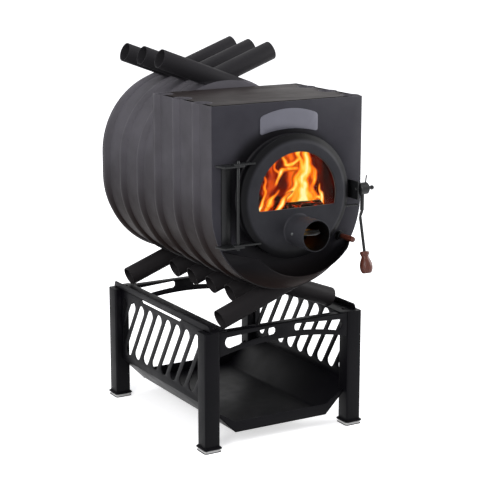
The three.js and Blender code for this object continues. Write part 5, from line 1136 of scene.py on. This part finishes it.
smoke, tree, out, place = new_material("glowing_smoke")
upward = add_node(tree, "ShaderNodeMapping", {"Scale": (1, 1, 0.5)}, {"Vector": place})
drift = add_node(tree, "ShaderNodeTexNoise", {"Scale": 1 / (70 * MM), "Detail": 3, "Distortion": 0.7},
                 {"Vector": upward.outputs[0]})
ramp = add_node(tree, "ShaderNodeValToRGB", links={"Fac": drift.outputs["Fac"]})
ramp.color_ramp.elements[0].position = 0.36
ramp.color_ramp.elements[0].color = linear("1c0302")
ramp.color_ramp.elements[1].position = 0.75
ramp.color_ramp.elements[1].color = linear("a82408")
ramp.color_ramp.elements.new(0.55).color = linear("581004")
light = add_node(tree, "ShaderNodeEmission", {"Strength": 0.9}, {"Color": ramp.outputs["Color"]})
clear = add_node(tree, "ShaderNodeBsdfTransparent")
height = add_node(tree, "ShaderNodeSeparateXYZ", links={"Vector": place})
thick = add_node(tree, "ShaderNodeMapRange", {"From Min": (GRATE_TOP + 380) * MM,
                                              "From Max": (GRATE_TOP + 240) * MM,
                                              "To Max": 0.92}, {"Value": height.outputs["Z"]})
both = add_node(tree, "ShaderNodeMixShader", links={0: thick.outputs[0], 1: clear.outputs[0],
                                                    2: light.outputs[0]})
tree.links.new(both.outputs[0], out.inputs["Surface"])

bow = bmesh.new()
bow_x, bow_front, bow_turn, bow_deep = 192, 40, 130, 120
angles = [math.pi * i / 24 for i in range(1, 24)]
path = [(-bow_x, bow_front), (-bow_x, bow_turn),
        *((-bow_x * math.cos(a), bow_turn + bow_deep * math.sin(a)) for a in angles),
        (bow_x, bow_turn), (bow_x, bow_front)]
chain = [bow.verts.new((x, y, GRATE_TOP + 64)) for x, y in path]
loop = [bow.edges.new(pair) for pair in zip(chain, chain[1:])]
for i in range(12):
    loop = push(bow, loop, shift(3 * math.sin(i * 1.9), 3 * math.cos(i * 2.3), 28))
finish_piece("fire_glow", bow, smoke, smooth=180)

# The studio: a pale floor that the camera sees as a white page with the stove's soft
# shadow on it, three large lights and an even room. The camera stands at the left front.


def shown(tree):
    """1 for what is seen directly, in a mirror or through glass, and 0 for other light."""
    seen = add_node(tree, "ShaderNodeLightPath")
    past = add_node(tree, "ShaderNodeMath", {"operation": "MAXIMUM"}, {
        0: seen.outputs["Is Glossy Ray"], 1: seen.outputs["Is Transmission Ray"]})
    return add_node(tree, "ShaderNodeMath", {"operation": "MAXIMUM"}, {
        0: seen.outputs["Is Camera Ray"], 1: past.outputs[0]}).outputs[0]


floor_mesh = bmesh.new()
bmesh.ops.create_grid(floor_mesh, x_segments=1, y_segments=1, size=30)
floor_data = bpy.data.meshes.new("floor")
floor_mesh.to_mesh(floor_data)
floor_mesh.free()
floor = bpy.data.objects.new("floor", floor_data)
bpy.context.scene.collection.objects.link(floor)
page, tree, out, place = new_material("white_page")
shader = add_node(tree, "ShaderNodeBsdfDiffuse", {"Color": linear("f6f6f6")})
dull = add_node(tree, "ShaderNodeBsdfDiffuse", {"Color": linear("6e6e6e")})
reach = add_node(tree, "ShaderNodeVectorMath", {"operation": "LENGTH"}, {0: place})
lift = add_node(tree, "ShaderNodeMapRange", {"From Min": 0.5, "From Max": 2.4, "To Min": 0.62,
                                             "To Max": 1},
                {"Value": reach.outputs["Value"]})
glow = add_node(tree, "ShaderNodeEmission", {"Color": linear("ffffff")}, {"Strength": lift.outputs[0]})
both = add_node(tree, "ShaderNodeAddShader", links={0: shader.outputs[0], 1: glow.outputs[0]})
pick = add_node(tree, "ShaderNodeMixShader", links={0: shown(tree), 1: dull.outputs[0],
                                                    2: both.outputs[0]})
tree.links.new(pick.outputs[0], out.inputs["Surface"])
floor_data.materials.append(page)

world = bpy.data.worlds.new("studio")
bpy.context.scene.world = world
world.use_nodes = True
tree = world.node_tree
tree.nodes.clear()
out = add_node(tree, "ShaderNodeOutputWorld")
plain = add_node(tree, "ShaderNodeBackground", {"Color": linear("ffffff"), "Strength": 1})
room = add_node(tree, "ShaderNodeBackground", {"Color": linear("e4e4ee"), "Strength": 0.42})
pick = add_node(tree, "ShaderNodeMixShader", links={0: shown(tree), 1: room.outputs[0],
                                                    2: plain.outputs[0]})
tree.links.new(pick.outputs[0], out.inputs["Surface"])

for name, power, size, spot, aim in (
        ("left_window", 105, (1.6, 2.6), (-3.0, -2.2, 2.4), (0, 0, 0.7)),
        ("right_fill", 105, (1.4, 2.2), (3.2, -1.2, 1.9), (0, 0, 0.7)),
        ("top_light", 40, (2.6, 2.0), (-0.4, 0.6, 3.6), (0, 0, 0.7))):
    data = bpy.data.lights.new(name, "AREA")
    data.shape = "RECTANGLE"
    data.size, data.size_y = size
    data.energy = power
    lamp = bpy.data.objects.new(name, data)
    lamp.location = spot
    lamp.rotation_euler = (Vector(spot) - Vector(aim)).to_track_quat("Z", "Y").to_euler()
    bpy.context.scene.collection.objects.link(lamp)

AZIMUTH, ELEVATION, DISTANCE = math.radians(30.1), math.radians(12.66), 4.648
SENSOR_MM, FOCAL_PX, PICTURE_PX = 36, 1487, 480
ahead = Vector((math.sin(AZIMUTH) * math.cos(ELEVATION), math.cos(AZIMUTH) * math.cos(ELEVATION),
                -math.sin(ELEVATION)))
camera_data = bpy.data.cameras.new("camera")
camera_data.sensor_width = SENSOR_MM
camera_data.lens = FOCAL_PX * SENSOR_MM / PICTURE_PX
camera = bpy.data.objects.new("camera", camera_data)
camera.location = Vector((0.0107, -0.05, 0.5601)) - ahead * DISTANCE
camera.rotation_euler = ahead.to_track_quat("-Z", "Y").to_euler()
bpy.context.scene.collection.objects.link(camera)
bpy.context.scene.camera = camera
bpy.context.scene.view_settings.view_transform = "Standard"
